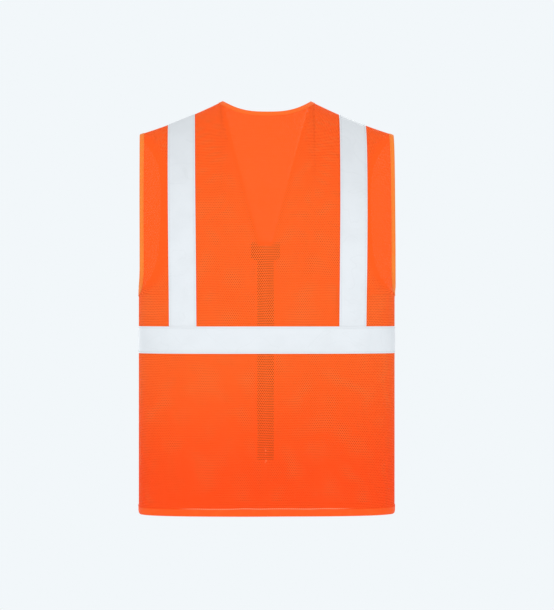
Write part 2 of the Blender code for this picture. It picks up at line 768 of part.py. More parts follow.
def main():
    for obj in list(bpy.data.objects):
        bpy.data.objects.remove(obj)
    for name in (COLLECTION, "cutters"):
        bpy.context.scene.collection.children.link(bpy.data.collections.new(name))
    finishes = {name: material(name, *values) for name, values in FINISHES.items()}
    hinges = {"right": fold_hinge("right", 1), "left": fold_hinge("left", -1)}
    frames = {name: zip_frame(name, hinge) for name, hinge in hinges.items()}
    build_shell(finishes["orange_mesh"], hinges)
    build_neck_binding(finishes["orange_binding"])
    build_armhole_bindings(finishes["orange_binding"])
    build_front_edge_bindings(finishes["orange_binding"], hinges)
    build_hem_bindings(finishes["orange_binding"], hinges)
    build_waist_tapes(finishes["reflective_tape"], hinges)
    build_shoulder_tapes(finishes["reflective_tape"])
    build_label(finishes["white_label"])
    build_zip_sides(frames, finishes["dark_zip_tape"], finishes["dark_zip_teeth"])
    build_zip_end(frames, finishes["dark_zip_teeth"])
    build_slider(frames["left"], finishes["painted_slider"])
    build_pull_tab(frames["left"], finishes["painted_slider"])


main()
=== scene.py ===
"""Looks of the high-visibility vest: knitted mesh, bound edges, reflective tape and the zip.

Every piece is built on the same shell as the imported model, in metres, with +Z up and the back at -Y.
"""

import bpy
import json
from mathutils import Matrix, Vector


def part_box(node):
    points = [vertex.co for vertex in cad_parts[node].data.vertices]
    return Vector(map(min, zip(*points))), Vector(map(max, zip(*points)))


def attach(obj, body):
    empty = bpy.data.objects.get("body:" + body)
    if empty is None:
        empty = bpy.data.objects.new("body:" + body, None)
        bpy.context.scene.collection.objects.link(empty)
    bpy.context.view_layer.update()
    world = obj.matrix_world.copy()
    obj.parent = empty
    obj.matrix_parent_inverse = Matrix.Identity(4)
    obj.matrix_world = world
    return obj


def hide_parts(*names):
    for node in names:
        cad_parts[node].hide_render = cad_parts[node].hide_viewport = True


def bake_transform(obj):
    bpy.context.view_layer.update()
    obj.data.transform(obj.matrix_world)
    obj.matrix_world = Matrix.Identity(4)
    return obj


bl_info = {
    "name": "High Visibility Vest",
    "version": (1, 0, 0),
    "blender": (4, 5, 0),
    "location": "3D View > Sidebar > Vest",
    "description": "Builds the cloth, tapes, bindings and zip of a high-visibility vest round its frame",
    "category": "Add Mesh",
}

import json
import math

import bmesh
import bpy
from bpy.props import FloatProperty, FloatVectorProperty, PointerProperty
from mathutils import Matrix, Vector

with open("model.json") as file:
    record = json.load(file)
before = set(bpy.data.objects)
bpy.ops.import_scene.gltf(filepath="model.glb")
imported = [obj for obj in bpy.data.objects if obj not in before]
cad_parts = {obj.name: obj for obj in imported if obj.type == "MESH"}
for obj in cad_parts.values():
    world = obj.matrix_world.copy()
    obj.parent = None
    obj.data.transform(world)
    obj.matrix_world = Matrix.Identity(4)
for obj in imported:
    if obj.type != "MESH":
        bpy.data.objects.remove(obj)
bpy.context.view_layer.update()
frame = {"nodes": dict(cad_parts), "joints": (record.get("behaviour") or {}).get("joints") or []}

# The shell that the cloth lies on, in the frame's own sizes
BACK, FRONT = -1, 1
SHELL = "vest_shell"
LENGTH = -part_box("back_hem_binding")[0][2]
HALF_WIDTH = 0.243
CHEST_DEPTH = 0.104
HEM_DEPTH = 0.094
SECTION_POWER = 3.0
NECK_HALF = 0.0833
NECK_DROP = 0.0235
NECK_POWER = 2.6
NECK_V_DEPTH = 0.270
SHOULDER_DROP = 0.0643
SHOULDER_START_SLOPE = 0.5
SHOULDER_ROUND = 0.22
UNDERARM = 0.363
ARMHOLE_REACH = 0.066
ARMHOLE_CORNER = 0.050
FRONT_SCOOP = 0.042
FRONT_EDGE_X = 0.011
BINDING = 0.009  # the strip of binding in the frame
TAPE_INNER_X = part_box("right_back_shoulder_tape")[0][0]
TAPE_OUTER_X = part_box("right_back_shoulder_tape")[1][0]
WAIST_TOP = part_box("back_waist_tape")[1][2]
WAIST_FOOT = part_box("back_waist_tape")[0][2]
ZIP_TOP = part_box("left_zip_tape")[1][2]
ZIP_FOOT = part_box("left_zip_tape")[0][2]
MEETING_X = 0.0003  # half the gap between the front edges under the zip
MEETING_DROP = 0.022  # height over which the edges come together
MEETING_RISE = 0.013  # how far above the zip's foot they start to
ZIP_LEAN = math.atan2(CHEST_DEPTH - HEM_DEPTH, LENGTH - NECK_V_DEPTH)
ZIP_Y = 0.0014  # the middle of the zip, inside the cloth

# The cloth, its bindings and its seams
HIDDEN_EDGE = 0.005  # how far the cloth's raw edge stands back inside its binding
DRAPE = 0.0011  # height of the soft waves that hang in the cloth
SEAM_STILL = 0.07  # how far from the side seams the waves are less
ZIP_STILL = 0.12  # the same beside the zip
NECK_SHADE_SHIFT = 0.0055  # how far to the left the painted shade inside the neck's V lies
HEM_WIDTH = 0.0125  # from the hem's edge to its seam
HEM_CORNER = 0.006  # radius of the hem's corner at a side seam
HEM_CORNER_FADE = 0.060  # height over which the cloth takes up the corner's rise
BINDING_SEAM = 0.0016  # from a binding's inner edge to its stitches
HEM_SEAM = 0.0020
THREAD_LIFT = 0.0010  # height of the stitches over the cloth
SEAM_HEM_GAP = 0.012  # what the side seam's stitches leave free at the hem
SEAM_UNDERARM_GAP = 0.010

# The reflective tapes
TAPE_LIFT = 0.0010
TAPE_THREAD_LIFT = 0.0002  # height of the stitches over the tape
TAPE_SEAM = 0.0030  # from the tape's edge to its stitches
TAPE_LEAN = 0.0034  # how far a tape draws in from the shoulder to the waist at the back
TAPE_UNDER = 0.0045  # how far a shoulder tape's end runs under the waist tape
TAPE_ROWS = 10  # across a tape

# The zip
ZIP_HALF = 0.016
ZIP_TAIL = 0.027  # length of the tape's turned-out end over the top stop
ZIP_TAIL_HALF = 0.028
ZIP_TAIL_RISE = 0.004  # how far that end stands over the top of the V
ZIP_TAIL_TURN = 0.002  # height over which the tape widens to it
ZIP_INNER = 0.0010  # the tape's inner edge, inside the teeth and clear of the slider's post
ZIP_PIN_EDGE = 0.0003  # the same where the tape is stiffened under the pins
ZIP_SWELL = 0.0004  # how far the tape's inner edge stands in
ZIP_COLUMNS = 12
PIN_TOP = 0.0145  # height of the stiffened end
TOOTH_PITCH = 0.005
TOOTH_FOOT = 0.020  # from the zip's foot to its first tooth
TOOTH_TOP = 0.004  # from the zip's top to its last tooth
CORD_X = 0.0041  # the cord that runs through the teeth
CORD_RADIUS = 0.0006
CORD_SIDES = 10

# How finely the pieces are made
CLOTH_STEP = 0.0060
EDGE_STEP = 0.0040
CURVE_SAMPLES = 90
HEM_SAMPLES = 120
BACK_COLUMNS = 46  # on each half of the back
NECK_SHARE = 0.36  # of them, inside the neck
FRONT_COLUMNS = 48
EASING_ROWS = 18  # between the level rows and the shoulder's
SHOULDER_FOOT_X = 0.03  # where the front edge passes the foot of the shoulder's curve


# The shell


def ridge(x):
    """The height of the shoulder line over x. It is 0 at the neck points."""
    x = abs(x)
    if x < NECK_HALF:
        return SHOULDER_START_SLOPE * NECK_HALF / 2 * (1 - (x / NECK_HALF) ** 2)
    span = HALF_WIDTH - NECK_HALF
    flattening = (SHOULDER_START_SLOPE * span - SHOULDER_DROP) / span**2
    return -SHOULDER_START_SLOPE * (x - NECK_HALF) + flattening * (x - NECK_HALF) ** 2


def half_depth(z):
    """Half the depth of the plan at a height, at its deepest."""
    share = (-z - NECK_V_DEPTH) / (LENGTH - NECK_V_DEPTH)
    return CHEST_DEPTH + (HEM_DEPTH - CHEST_DEPTH) * share


def squareness(z):
    """The share of the plan that is left at the side seams, which open into the armholes."""
    above = min(max((z + UNDERARM) / ARMHOLE_CORNER, 0.0), 1.0)
    edge = ARMHOLE_REACH * math.sqrt(1 - (1 - above) ** 2)
    return 1 - (edge / half_depth(z)) ** SECTION_POWER


def section(x, z):
    """How far the front and the back stand from the middle plane."""
    left = 1 - squareness(z) * (abs(x) / HALF_WIDTH) ** SECTION_POWER
    return half_depth(z) * max(left, 0.0) ** (1 / SECTION_POWER)


def shell(x, z, side):
    """A point of the cloth at x and z. It closes over the shoulders."""
    below = ridge(x) - z
    closing = 1.0
    if below < SHOULDER_ROUND:
        closing = math.sqrt(max(0.0, 1 - (1 - below / SHOULDER_ROUND) ** 2))
    return Vector((x, side * section(x, z) * closing, z))


def shoulder(x, turn, side):
    """A point of the shoulder, by its turn from the ridge at 0 to the foot of the curve."""
    z = ridge(x) - SHOULDER_ROUND * (1 - math.cos(turn))
    return Vector((x, side * section(x, z) * math.sin(turn), z))


def level(p):
    """0 on the shell, less inside and more outside."""
    below = ridge(p.x) - p.z
    if below >= SHOULDER_ROUND:
        across = squareness(p.z) * (abs(p.x) / HALF_WIDTH) ** SECTION_POWER
        return (abs(p.y) / half_depth(p.z)) ** SECTION_POWER + across - 1
    return (p.y / section(p.x, p.z)) ** 2 + (1 - below / SHOULDER_ROUND) ** 2 - 1


def gradient(p):
    step = 1e-5
    slopes = []
    for axis in range(3):
        away = Vector((0, 0, 0))
        away[axis] = step
        slopes.append((level(p + away) - level(p - away)) / (2 * step))
    return Vector(slopes)


def outward(p):
    return gradient(p).normalized()


def onto_shell(p):
    for _ in range(3):
        slope = gradient(p)
        p = p - slope * (level(p) / slope.length_squared)
    return p


def drape(p):
    """Soft waves in the hanging cloth, nothing at the seams and beside the zip."""
    seam = min(1.0, abs(p.y) / SEAM_STILL) ** 2
    beside_zip = min(1.0, abs(p.x) / ZIP_STILL) ** 2 if p.y > 0 else 1.0
    hang = min(1.0, -p.z / LENGTH)
    folds = math.sin(p.x * 31 + p.z * 5 + 0.6) * 0.7 + math.sin(p.x * 53 - p.z * 9 + 2.1) * 0.3
    slack = math.sin(p.z * 19 + p.x * 7) * 0.35
    return DRAPE * seam * beside_zip * (folds * (0.3 + 0.7 * hang) + slack)


def corner_rise(p):
    """How far the hem is drawn up where it rounds the bottom of a side seam."""
    share = min(1.0, max(0.0, (abs(p.x) - HALF_WIDTH + HEM_CORNER) / HEM_CORNER))
    fade = max(0.0, 1 - (p.z + LENGTH) / HEM_CORNER_FADE)
    return HEM_CORNER * (1 - math.sqrt(1 - share * share)) * fade


def lifted(p, height):
    """A point moved out from the cloth by a height, on the waves of the cloth."""
    moved = p + outward(p) * (height + drape(p))
    moved.z += corner_rise(p)
    return moved


# The lines that the panels are cut to. Each stands back from its finished edge by an allowance.


def smooth(share):
    """A share that eases in and out."""
    share = min(1.0, max(0.0, share))
    return share * share * (3 - 2 * share)


def neck_edge_x(z, allowance):
    """The V of the neck, the front edge beside the zip, and the edges that meet under the zip."""
    share = min(max(-z / NECK_V_DEPTH, 0.0), 1.0)
    met = smooth((ZIP_FOOT + MEETING_RISE - z) / MEETING_DROP)
    straight = NECK_HALF + (FRONT_EDGE_X - NECK_HALF) * share
    return straight - (FRONT_EDGE_X - MEETING_X) * met + allowance


def back_neck_height(x, allowance):
    """The curve of the back neck."""
    neck_point = NECK_HALF + allowance
    drop = NECK_DROP + allowance + ridge(neck_point)
    return ridge(neck_point) - drop * (1 - (abs(x) / neck_point) ** NECK_POWER)


def back_armhole_x(z, allowance):
    """The back's armhole: a rounded corner, then straight up."""
    low, top = -UNDERARM - allowance, -UNDERARM + ARMHOLE_CORNER
    z = min(z, top)
    above = min(max((z - low) / (top - low), 0.0), 1.0)
    rise = math.sqrt(1 - (ARMHOLE_REACH / half_depth(top)) ** 2)
    slack = (BINDING - allowance) * 0.25
    run_back = ARMHOLE_REACH + allowance * rise + slack
    y = run_back * math.sqrt(1 - (1 - above) ** 2)
    left = 1 - (y / half_depth(z)) ** SECTION_POWER
    return min(HALF_WIDTH, HALF_WIDTH * (left / squareness(z)) ** (1 / SECTION_POWER))


def front_armhole_x(z, allowance):
    """The front's armhole, which is scooped further in."""
    low = -UNDERARM - allowance
    share = min(max((z - low) / (-SHOULDER_DROP - low), 0.0), 1.0)
    trim = HALF_WIDTH - back_armhole_x(-SHOULDER_DROP, allowance)
    scoop = FRONT_SCOOP - (BINDING - allowance) * 0.1
    return HALF_WIDTH - trim * share - scoop * (1 - (2 * share - 1) ** 4)


def turn_at(x, z):
    """The turn of the shoulder's curve at a height."""
    return math.acos(max(-1.0, min(1.0, 1 - (ridge(x) - z) / SHOULDER_ROUND)))


def row_end(edge, height):
    """Where a row, whose height is a function of x, meets an edge given as x over z."""
    low, high = 0.0, HALF_WIDTH
    for _ in range(30):
        middle = (low + high) / 2
        low, high = (middle, high) if middle < edge(height(middle)) else (low, middle)
    return low


def meeting_x(edge, turn):
    """Where a row of the shoulder meets an edge given as x over z."""
    return row_end(edge, lambda x: ridge(x) - SHOULDER_ROUND * (1 - math.cos(turn)))


def easing_height(share):
    """The height over x of a row between the top level row, at 0, and the shoulder's foot, at 1."""
    top_level = -UNDERARM + ARMHOLE_CORNER
    return lambda x: top_level + (ridge(x) - SHOULDER_ROUND - top_level) * share


# Rows of points


def even(low, high, count):
    """count + 1 values from low to high."""
    return [low + (high - low) * i / count for i in range(count + 1)]


def spread(points, count):
    """count + 1 points at equal steps along a curve."""
    lengths = [0.0]
    for a, b in zip(points, points[1:]):
        lengths.append(lengths[-1] + (b - a).length)
    found, at = [], 0
    for i in range(count + 1):
        place = lengths[-1] * i / count
        while at < len(lengths) - 2 and lengths[at + 1] < place:
            at += 1
        share = (place - lengths[at]) / max(lengths[at + 1] - lengths[at], 1e-9)
        found.append(points[at].lerp(points[at + 1], min(share, 1.0)))
    return found


def evenly(points, step, closed=False):
    """A line walked again in equal steps of about the length given."""
    line = points + points[:1] if closed else points
    length = sum((b - a).length for a, b in zip(line, line[1:]))
    found = spread(line, max(3, round(length / step)))
    return found[:-1] if closed else found


def section_xs(low, high, count):
    """Values of x from low to high, closer together where the squared section turns."""
    start, end = (math.asin(min(1.0, (abs(x) / HALF_WIDTH) ** (SECTION_POWER / 2))) for x in (low, high))
    return [HALF_WIDTH * math.sin(angle) ** (2 / SECTION_POWER) for angle in even(start, end, count)]


def across(point, low, high, count):
    """A row from x = low to x = high at equal steps along the curve of a point at x."""
    return spread([point(x) for x in section_xs(low, high, CURVE_SAMPLES)], count)


def body_heights(allowance):
    """The hem up to the foot of the armhole, and closer rows round the foot."""
    low, foot = -LENGTH + allowance, -UNDERARM - allowance
    rows = even(low, foot, round((foot - low) / CLOTH_STEP))
    reach = ARMHOLE_CORNER + allowance
    return rows + [foot + reach * (1 - math.cos(turn)) for turn in even(0, math.pi / 2, 14)[1:]]


def level_row_count():
    """How many steps of a panel lie between level rows."""
    return len(body_heights(HIDDEN_EDGE)) - 1


def back_half_rows():
    """Rows of the back from its middle out to the wearer's right."""
    allowance, count = HIDDEN_EDGE, BACK_COLUMNS
    neck_point = NECK_HALF + allowance
    inside = round(count * NECK_SHARE)

    def row(point, edge):
        outside = across(point, neck_point, edge, count - inside)
        return across(point, 0.0, neck_point, inside)[:-1] + outside

    def top_turn(x):
        return 0.0 if x >= neck_point else turn_at(x, back_neck_height(x, allowance))

    rows = []
    for z in body_heights(allowance):
        rows.append(row(lambda x, z=z: shell(x, z, BACK), back_armhole_x(z, allowance)))
    edge = back_armhole_x(-SHOULDER_DROP, allowance)
    for share in even(0.0, 1.0, EASING_ROWS + 1)[1:-1]:
        height = easing_height(share)
        rows.append(row(lambda x, height=height: shell(x, height(x), BACK), edge))
    for share in even(0.0, 1.0, 40):

        def point(x, share=share):
            return shoulder(x, math.pi / 2 + (top_turn(x) - math.pi / 2) * share, BACK)

        rows.append(row(point, edge))
    return rows


def front_rows():
    """Rows of one whole front, at +X, from its own edge out to the side."""
    allowance, count = HIDDEN_EDGE, FRONT_COLUMNS
    rows = []

    def inner(z):
        return neck_edge_x(z, allowance)

    def outer(z):
        return front_armhole_x(z, allowance)

    for z in body_heights(allowance):
        rows.append(across(lambda x, z=z: shell(x, z, FRONT), inner(z), outer(z), count))
    for share in even(0.0, 1.0, EASING_ROWS + 1)[1:-1]:
        height = easing_height(share)
        low, high = row_end(inner, height), row_end(outer, height)
        rows.append(across(lambda x, height=height: shell(x, height(x), FRONT), low, high, count))
    for turn in even(math.pi / 2, 0.0, 44):
        low, high = meeting_x(inner, turn), meeting_x(outer, turn)
        rows.append(across(lambda x, t=turn: shoulder(x, t, FRONT), low, high, count))
    return rows


def handed(line, sign):
    """A line of points for the wearer's right, or the same one mirrored to the left."""
    return [Vector((sign * p.x, p.y, p.z)) for p in line]


def whole(line):
    """Both halves of a line that starts at the middle of the back."""
    return handed(line[:0:-1], -1) + line


SIDES = (("right", 1), ("left", -1))


# Meshes


def finish_object(name, mesh, recipe, body, nodes=()):
    """The object of a mesh, with its finish, its body and the nodes it replaces."""
    obj = bpy.data.objects.new(name, mesh)
    bpy.context.scene.collection.objects.link(obj)
    mesh.materials.append(material(recipe))
    if body:
        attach(obj, body)
    if nodes:
        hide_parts(*nodes)
    return obj


def settled(shape, name):
    """The finished mesh of a shape."""
    mesh = bpy.data.meshes.new(name)
    shape.to_mesh(mesh)
    shape.free()
    return mesh


def skin(shape, rings, smoothed=False):
    """Faces between rings of corners, and one over each end."""
    around = len(rings[0])
    for low, high in zip(rings, rings[1:]):
        for k in range(around):
            after = (k + 1) % around
            shape.faces.new((low[k], low[after], high[after], high[k])).smooth = smoothed
    shape.faces.new(rings[0][::-1])
    shape.faces.new(rings[-1])


def rise(row, above, i, is_level):
    """How far a row's point is from the one above it, square to the row where it is a level one."""
    step = above[i] - row[i]
    if not is_level:
        return step.length
    along = (row[min(i + 1, len(row) - 1)] - row[max(i - 1, 0)]).normalized()
    return (step - along * step.dot(along)).length


def grid_mesh(name, rows, closed=False, mirror=False, zero=0, level_rows=0):
    """A sheet lofted through rows of points, with a UV map in metres along the rows and up the columns."""
    shape = bmesh.new()
    layer = shape.loops.layers.uv.new("metres")
    grid = [[shape.verts.new(p) for p in row] for row in rows]
    ups = [[0.0] * len(rows[0])]
    for j, (lower, upper) in enumerate(zip(rows, rows[1:] + (rows[:1] if closed else []))):
        ups.append([v + rise(lower, upper, i, j < level_rows) for i, v in enumerate(ups[-1])])
    alongs = []
    for row in rows:
        along = [abs(row[0].x)]
        for a, b in zip(row, row[1:]):
            along.append(along[-1] + (b - a).length)
        alongs.append([u - along[zero] for u in along] if zero else along)
    count = len(rows) if closed else len(rows) - 1
    for j in range(count):
        k = (j + 1) % len(rows)
        for i in range(len(rows[0]) - 1):
            corners = [(j, i, j), (j, i + 1, j), (k, i + 1, j + 1), (k, i, j + 1)]
            if mirror:
                corners.reverse()
            face = shape.faces.new([grid[a][b] for a, b, _ in corners])
            face.smooth = True
            for loop, (a, b, v_row) in zip(face.loops, corners):
                loop[layer].uv = (alongs[a][b], ups[v_row][b])
    return settled(shape, name)


def strip_rows(line, sign, profile, closed=False):
    """Rows across a strip that runs along a line on the cloth. profile is out from the line, and up."""
    rows = []
    for i, p in enumerate(line):
        before = line[i - 1] if i or closed else p
        after = line[(i + 1) % len(line)] if i < len(line) - 1 or closed else p
        away = outward(p).cross(after - before).normalized() * sign
        feet = {reach: onto_shell(p + away * reach) for reach, _ in profile}
        rows.append([lifted(feet[reach], height) for reach, height in profile])
    return rows


def fold_profile(width, height=0.0008):
    """A tape folded round the cloth's edge: over the outside, round the edge and back inside."""
    over = [(-0.0002, 0.35), (0.0006, 0.8)]
    over += [(0.10 * width, 1.0), (0.5 * width, 1.12), (0.85 * width, 1.0)]
    over = [(reach, height * share) for reach, share in over]
    turned = [(width, height * 0.62), (width + height * 0.4, 0.0), (width, -height * 0.62)]
    return over + turned + [(reach, -up) for reach, up in reversed(over)]


# Along a stitch: place over its length, then size and height over its thickness
STITCH_RINGS = ((-0.5, 0.35, -0.9), (-0.25, 1.0, 0.1), (0.25, 1.0, 0.1), (0.5, 0.35, -0.9))


def stitch_mesh(name, lines, pitch=0.0030, long=0.0021, thick=0.00022):
    """Rows of stitches. Each is a thin six-sided grain that dips into the cloth at its ends."""
    shape = bmesh.new()
    for line in lines:
        line = evenly(line, pitch)
        for a, b in zip(line, line[1:]):
            middle, ahead = (a + b) / 2, (b - a).normalized()
            up = outward(middle)
            beside = ahead.cross(up).normalized()
            rings = []
            for at, size, sink in STITCH_RINGS:
                centre = middle + ahead * (long * at) + up * (thick * sink)
                ring = []
                for k in range(6):
                    angle = math.pi * k / 3
                    offset = beside * math.cos(angle) + up * math.sin(angle)
                    ring.append(shape.verts.new(centre + offset * (thick * size)))
                rings.append(ring)
            skin(shape, rings, smoothed=True)
    bmesh.ops.recalc_face_normals(shape, faces=shape.faces)
    return settled(shape, name)


def fold_band(side):
    """The two points between which the cloth of a front turns, one on each side of its fold."""
    joint = next(j for j in frame["joints"] if j["name"] == f"{side}_front_open")
    axis, place = Vector(joint["axis"]).normalized(), Vector(joint["pos_m"])
    inward = Vector((-math.copysign(1, place.x), 0, 0))
    inward = (inward - axis * inward.dot(axis)).normalized()
    half = bpy.context.scene.vest_cloth.fold_band / 2
    return place - inward * half, place + inward * half


def bend(obj, side):
    """Bakes a front piece's transform into its mesh. The ends of its fold band are found but not used."""
    start, end = fold_band(side)
    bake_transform(obj)
    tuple(start)
    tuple(end)


# Shader maths


class Ink:
    """A socket of a shader tree. Python's operators on it add Math nodes."""

    def __init__(self, tree, socket=None):
        self.tree = tree
        self.socket = socket

    def node(self, kind, settings=None, inputs=None, output=0):
        """Adds a node: its settings first, then the values or links of its sockets."""
        made = self.tree.nodes.new(kind)
        for name, value in (settings or {}).items():
            setattr(made, name, value)
        for name, value in (inputs or {}).items():
            socket = made.inputs[name]
            if isinstance(value, Ink):
                self.tree.links.new(value.socket, socket)
            else:
                socket.default_value = value
        return Ink(self.tree, made.outputs[output])

    def math(self, operation, *others, clamp=False):
        inputs = dict(enumerate((self, *others)))
        return self.node("ShaderNodeMath", {"operation": operation, "use_clamp": clamp}, inputs)

    def __add__(self, other):
        return self.math("ADD", other)

    def __sub__(self, other):
        return self.math("SUBTRACT", other)

    def __rsub__(self, other):
        return self.node("ShaderNodeMath", {"operation": "SUBTRACT"}, {0: other, 1: self})

    def __mul__(self, other):
        return self.math("MULTIPLY", other)

    def __truediv__(self, other):
        return self.math("DIVIDE", other)

    __radd__ = __add__
    __rmul__ = __mul__

    def wave(self):
        """A wave from 0 to 1 and back over this value as an angle."""
        return self.math("SINE") * 0.5 + 0.5

    def ramp(self, low, high):
        """0 below low and 1 above high, or the other way round where high is the lesser."""
        inputs = {0: self, 1: low, 2: high, 3: 0.0, 4: 1.0}
        return self.node("ShaderNodeMapRange", {"interpolation_type": "SMOOTHSTEP"}, inputs)


class Finish:
    """A new material with its Principled shader and the places that patterns are read from."""

    def __init__(self, name, color, roughness, metallic=0.0, coat=0.0, painted_glow=0.0, gloss=0.5):
        self.material = bpy.data.materials.new(name)
        self.material.use_nodes = True
        self.tree = self.material.node_tree
        self.shader = self.tree.nodes["Principled BSDF"]
        self.shader.inputs["Base Color"].default_value = (*color, 1.0)
        self.shader.inputs["Roughness"].default_value = roughness
        self.shader.inputs["Metallic"].default_value = metallic
        self.shader.inputs["Coat Weight"].default_value = coat
        self.shader.inputs["Specular IOR Level"].default_value = gloss
        # Painted glow: the surface gives off its own colour as light, standing in for the dye's
        # fluorescence.
        self.shader.inputs["Emission Color"].default_value = (*color, 1.0)
        self.shader.inputs["Emission Strength"].default_value = painted_glow
        self.ink = Ink(self.tree)

    def place(self):
        """Object coordinates in metres, whole and as x, y and z."""
        where = self.ink.node("ShaderNodeTexCoord", output=3)
        parts = [self.ink.node("ShaderNodeSeparateXYZ", inputs={0: where}, output=k) for k in range(3)]
        return (where, *parts)

    def metres(self):
        """The UV map in metres, along the piece and across it."""
        where = self.ink.node("ShaderNodeUVMap", {"uv_map": "metres"})
        return [self.ink.node("ShaderNodeSeparateXYZ", inputs={0: where}, output=k) for k in range(2)]

    def noise(self, scale, detail):
        inputs = {"Vector": self.place()[0], "Scale": scale, "Detail": detail}
        return self.ink.node("ShaderNodeTexNoise", inputs=inputs)

    def mix(self, one, other, share):
        """A mix of two colours, each of them plain values or a socket."""
        one, other = (c if isinstance(c, Ink) else (*c, 1.0) for c in (one, other))
        inputs = {0: share, 6: one, 7: other}
        return self.ink.node("ShaderNodeMix", {"data_type": "RGBA"}, inputs, output=2)

    def paint(self, one, other, share):
        self.feed("Base Color", self.mix(one, other, share))

    def paint_with_glow(self, color):
        """A colour that the cloth also gives off as painted glow, standing in for the dye's fluorescence.
        """
        self.feed("Base Color", color)
        self.feed("Emission Color", color)

    def feed(self, name, value):
        self.tree.links.new(value.socket, self.shader.inputs[name])

    def bump(self, height, distance, strength=1.0):
        inputs = {"Height": height, "Distance": distance, "Strength": strength}
        self.feed("Normal", self.ink.node("ShaderNodeBump", inputs=inputs))

    def see_through(self, share, tint):
        """Lets light through where share is 1, coloured by the threads round each hole."""
        clear = self.ink.node("ShaderNodeBsdfTransparent", inputs={"Color": (*tint, 1.0)})
        solid = Ink(self.tree, self.shader.outputs[0])
        mixed = self.ink.node("ShaderNodeMixShader", inputs={0: share, 1: solid, 2: clear})
        output = self.tree.nodes["Material Output"]
        self.tree.links.new(mixed.socket, output.inputs["Surface"])


# Sizes of the weaves. All but the twill's are for one radian of a wave.
BINDING_RIB = 0.00012
BINDING_PICK = 0.00011
BACKING_THREAD = 0.00016
SATIN_WARP = 0.00009
TWILL_LANE = 0.0016
TWILL_PITCH = 0.0007

BARE_METAL = (0.42, 0.41, 0.39)
FLOOR_COLOR = (0.86, 0.885, 0.90)
FLOOR_SHADE = (0.83, 0.86, 0.88)


def shaded(color, share, more=0.0):
    """A darker or lighter version of a colour."""
    return tuple(c * share + more for c in color)


def hole_distance(finish, pitch, sway):
    """How far each point is from the nearest hole's centre, in pitches, on staggered rows of holes."""
    along, up = finish.metres()
    along = along + (finish.noise(11.0, 2.0) - 0.5) * sway
    up = up + (finish.noise(13.0, 1.0) - 0.5) * sway
    row = math.sqrt(3)
    nearest = None
    for shift in (0.0, 0.5):
        x = (along / pitch + shift).math("FRACT") - 0.5
        y = ((up / (pitch * row) + shift).math("FRACT") - 0.5) * row
        distance = (x * x + y * y).math("SQRT")
        nearest = nearest.math("MINIMUM", distance) if nearest else distance
    return nearest


def painted_height_shade(finish, middle, hem, shoulder_shade_color):
    """Painted shade: a cloth colour that is lightest at the middle of the vest and painted darker towards
    the hem and over the shoulders.
    """
    z = finish.place()[3]
    lower = z.ramp(-0.44, -0.76)
    upper = z.ramp(-0.26, -0.05)
    color = finish.mix(middle, hem, lower)
    return finish.mix(color, shoulder_shade_color, upper)


def shade_zones(finish):
    """1 inside the neck's V and behind the scooped armholes, where the knit gets painted shade and fewer
    clear holes, else 0.
    """
    x, z = finish.place()[1], finish.place()[3]
    beside = x.math("ABSOLUTE")
    slant = (NECK_HALF - FRONT_EDGE_X) / NECK_V_DEPTH
    from_middle = (x + NECK_SHADE_SHIFT).math("ABSOLUTE")
    in_neck = (from_middle - z * slant).ramp(NECK_HALF + 0.014, NECK_HALF - 0.004)
    in_neck = in_neck * z.ramp(-NECK_V_DEPTH - 0.011, -NECK_V_DEPTH - 0.003)
    share = (z * -1.0 - SHOULDER_DROP) / (UNDERARM - SHOULDER_DROP)
    bow = (share * 2.0 - 1.0).math("POWER", 4.0)
    scoop = beside + (1.0 - bow) * FRONT_SCOOP
    in_armhole = scoop.ramp(HALF_WIDTH - 0.030, HALF_WIDTH - 0.008)
    in_armhole = in_armhole * z.ramp(-UNDERARM - 0.010, -UNDERARM + 0.016)
    return in_neck.math("MAXIMUM", in_armhole)


def mesh_finish(cloth, name, clearness):
    """Knitted polyester mesh: rows of small staggered holes between soft round yarns."""
    finish = Finish(name, cloth.orange, 0.78, painted_glow=cloth.painted_glow, gloss=0.12)
    distance = hole_distance(finish, cloth.hole_pitch, cloth.hole_pitch * 1.5)
    radius = cloth.hole_radius
    hole = distance.ramp(radius + 0.03, radius - 0.03)
    patches = finish.noise(14.0, 3.0)
    # Painted shade: the cloth is painted darker towards the hem and over the shoulders.
    color = painted_height_shade(finish, cloth.orange, cloth.shade_and_patch_orange, cloth.shoulder_shade_orange)
    # Painted shade: the yarn is painted darker where it rounds into each hole.
    edge = distance.ramp(radius + 0.12, radius)
    color = finish.mix(color, shaded(cloth.shade_and_patch_orange, 0.60), edge * 0.75)
    color = finish.mix(color, cloth.shade_and_patch_orange, patches.ramp(0.40, 0.80) * 0.10)
    # Painted shade: the knit is painted darker inside the neck's V and behind the scooped armholes.
    shade_zone = shade_zones(finish)
    color = finish.mix(color, cloth.shade_zone_orange, shade_zone)
    finish.paint_with_glow(color)
    along, up = finish.metres()
    yarn = (up / (cloth.hole_pitch / 6)).wave()
    twist = ((along + up * 0.4) / (cloth.hole_pitch / 5)).wave()
    round_yarn = distance.ramp(radius - 0.02, 0.46)
    finish.bump(round_yarn + yarn * 0.22 + twist * 0.12, 0.0005, 0.8)
    finish.feed("Roughness", 0.70 + yarn * 0.12 + patches * 0.08)
    clear = 1.0 - shade_zone * (1 - cloth.shade_zone_clearness)
    finish.see_through(hole * clear * clearness, cloth.hole_tint)
    return finish.material


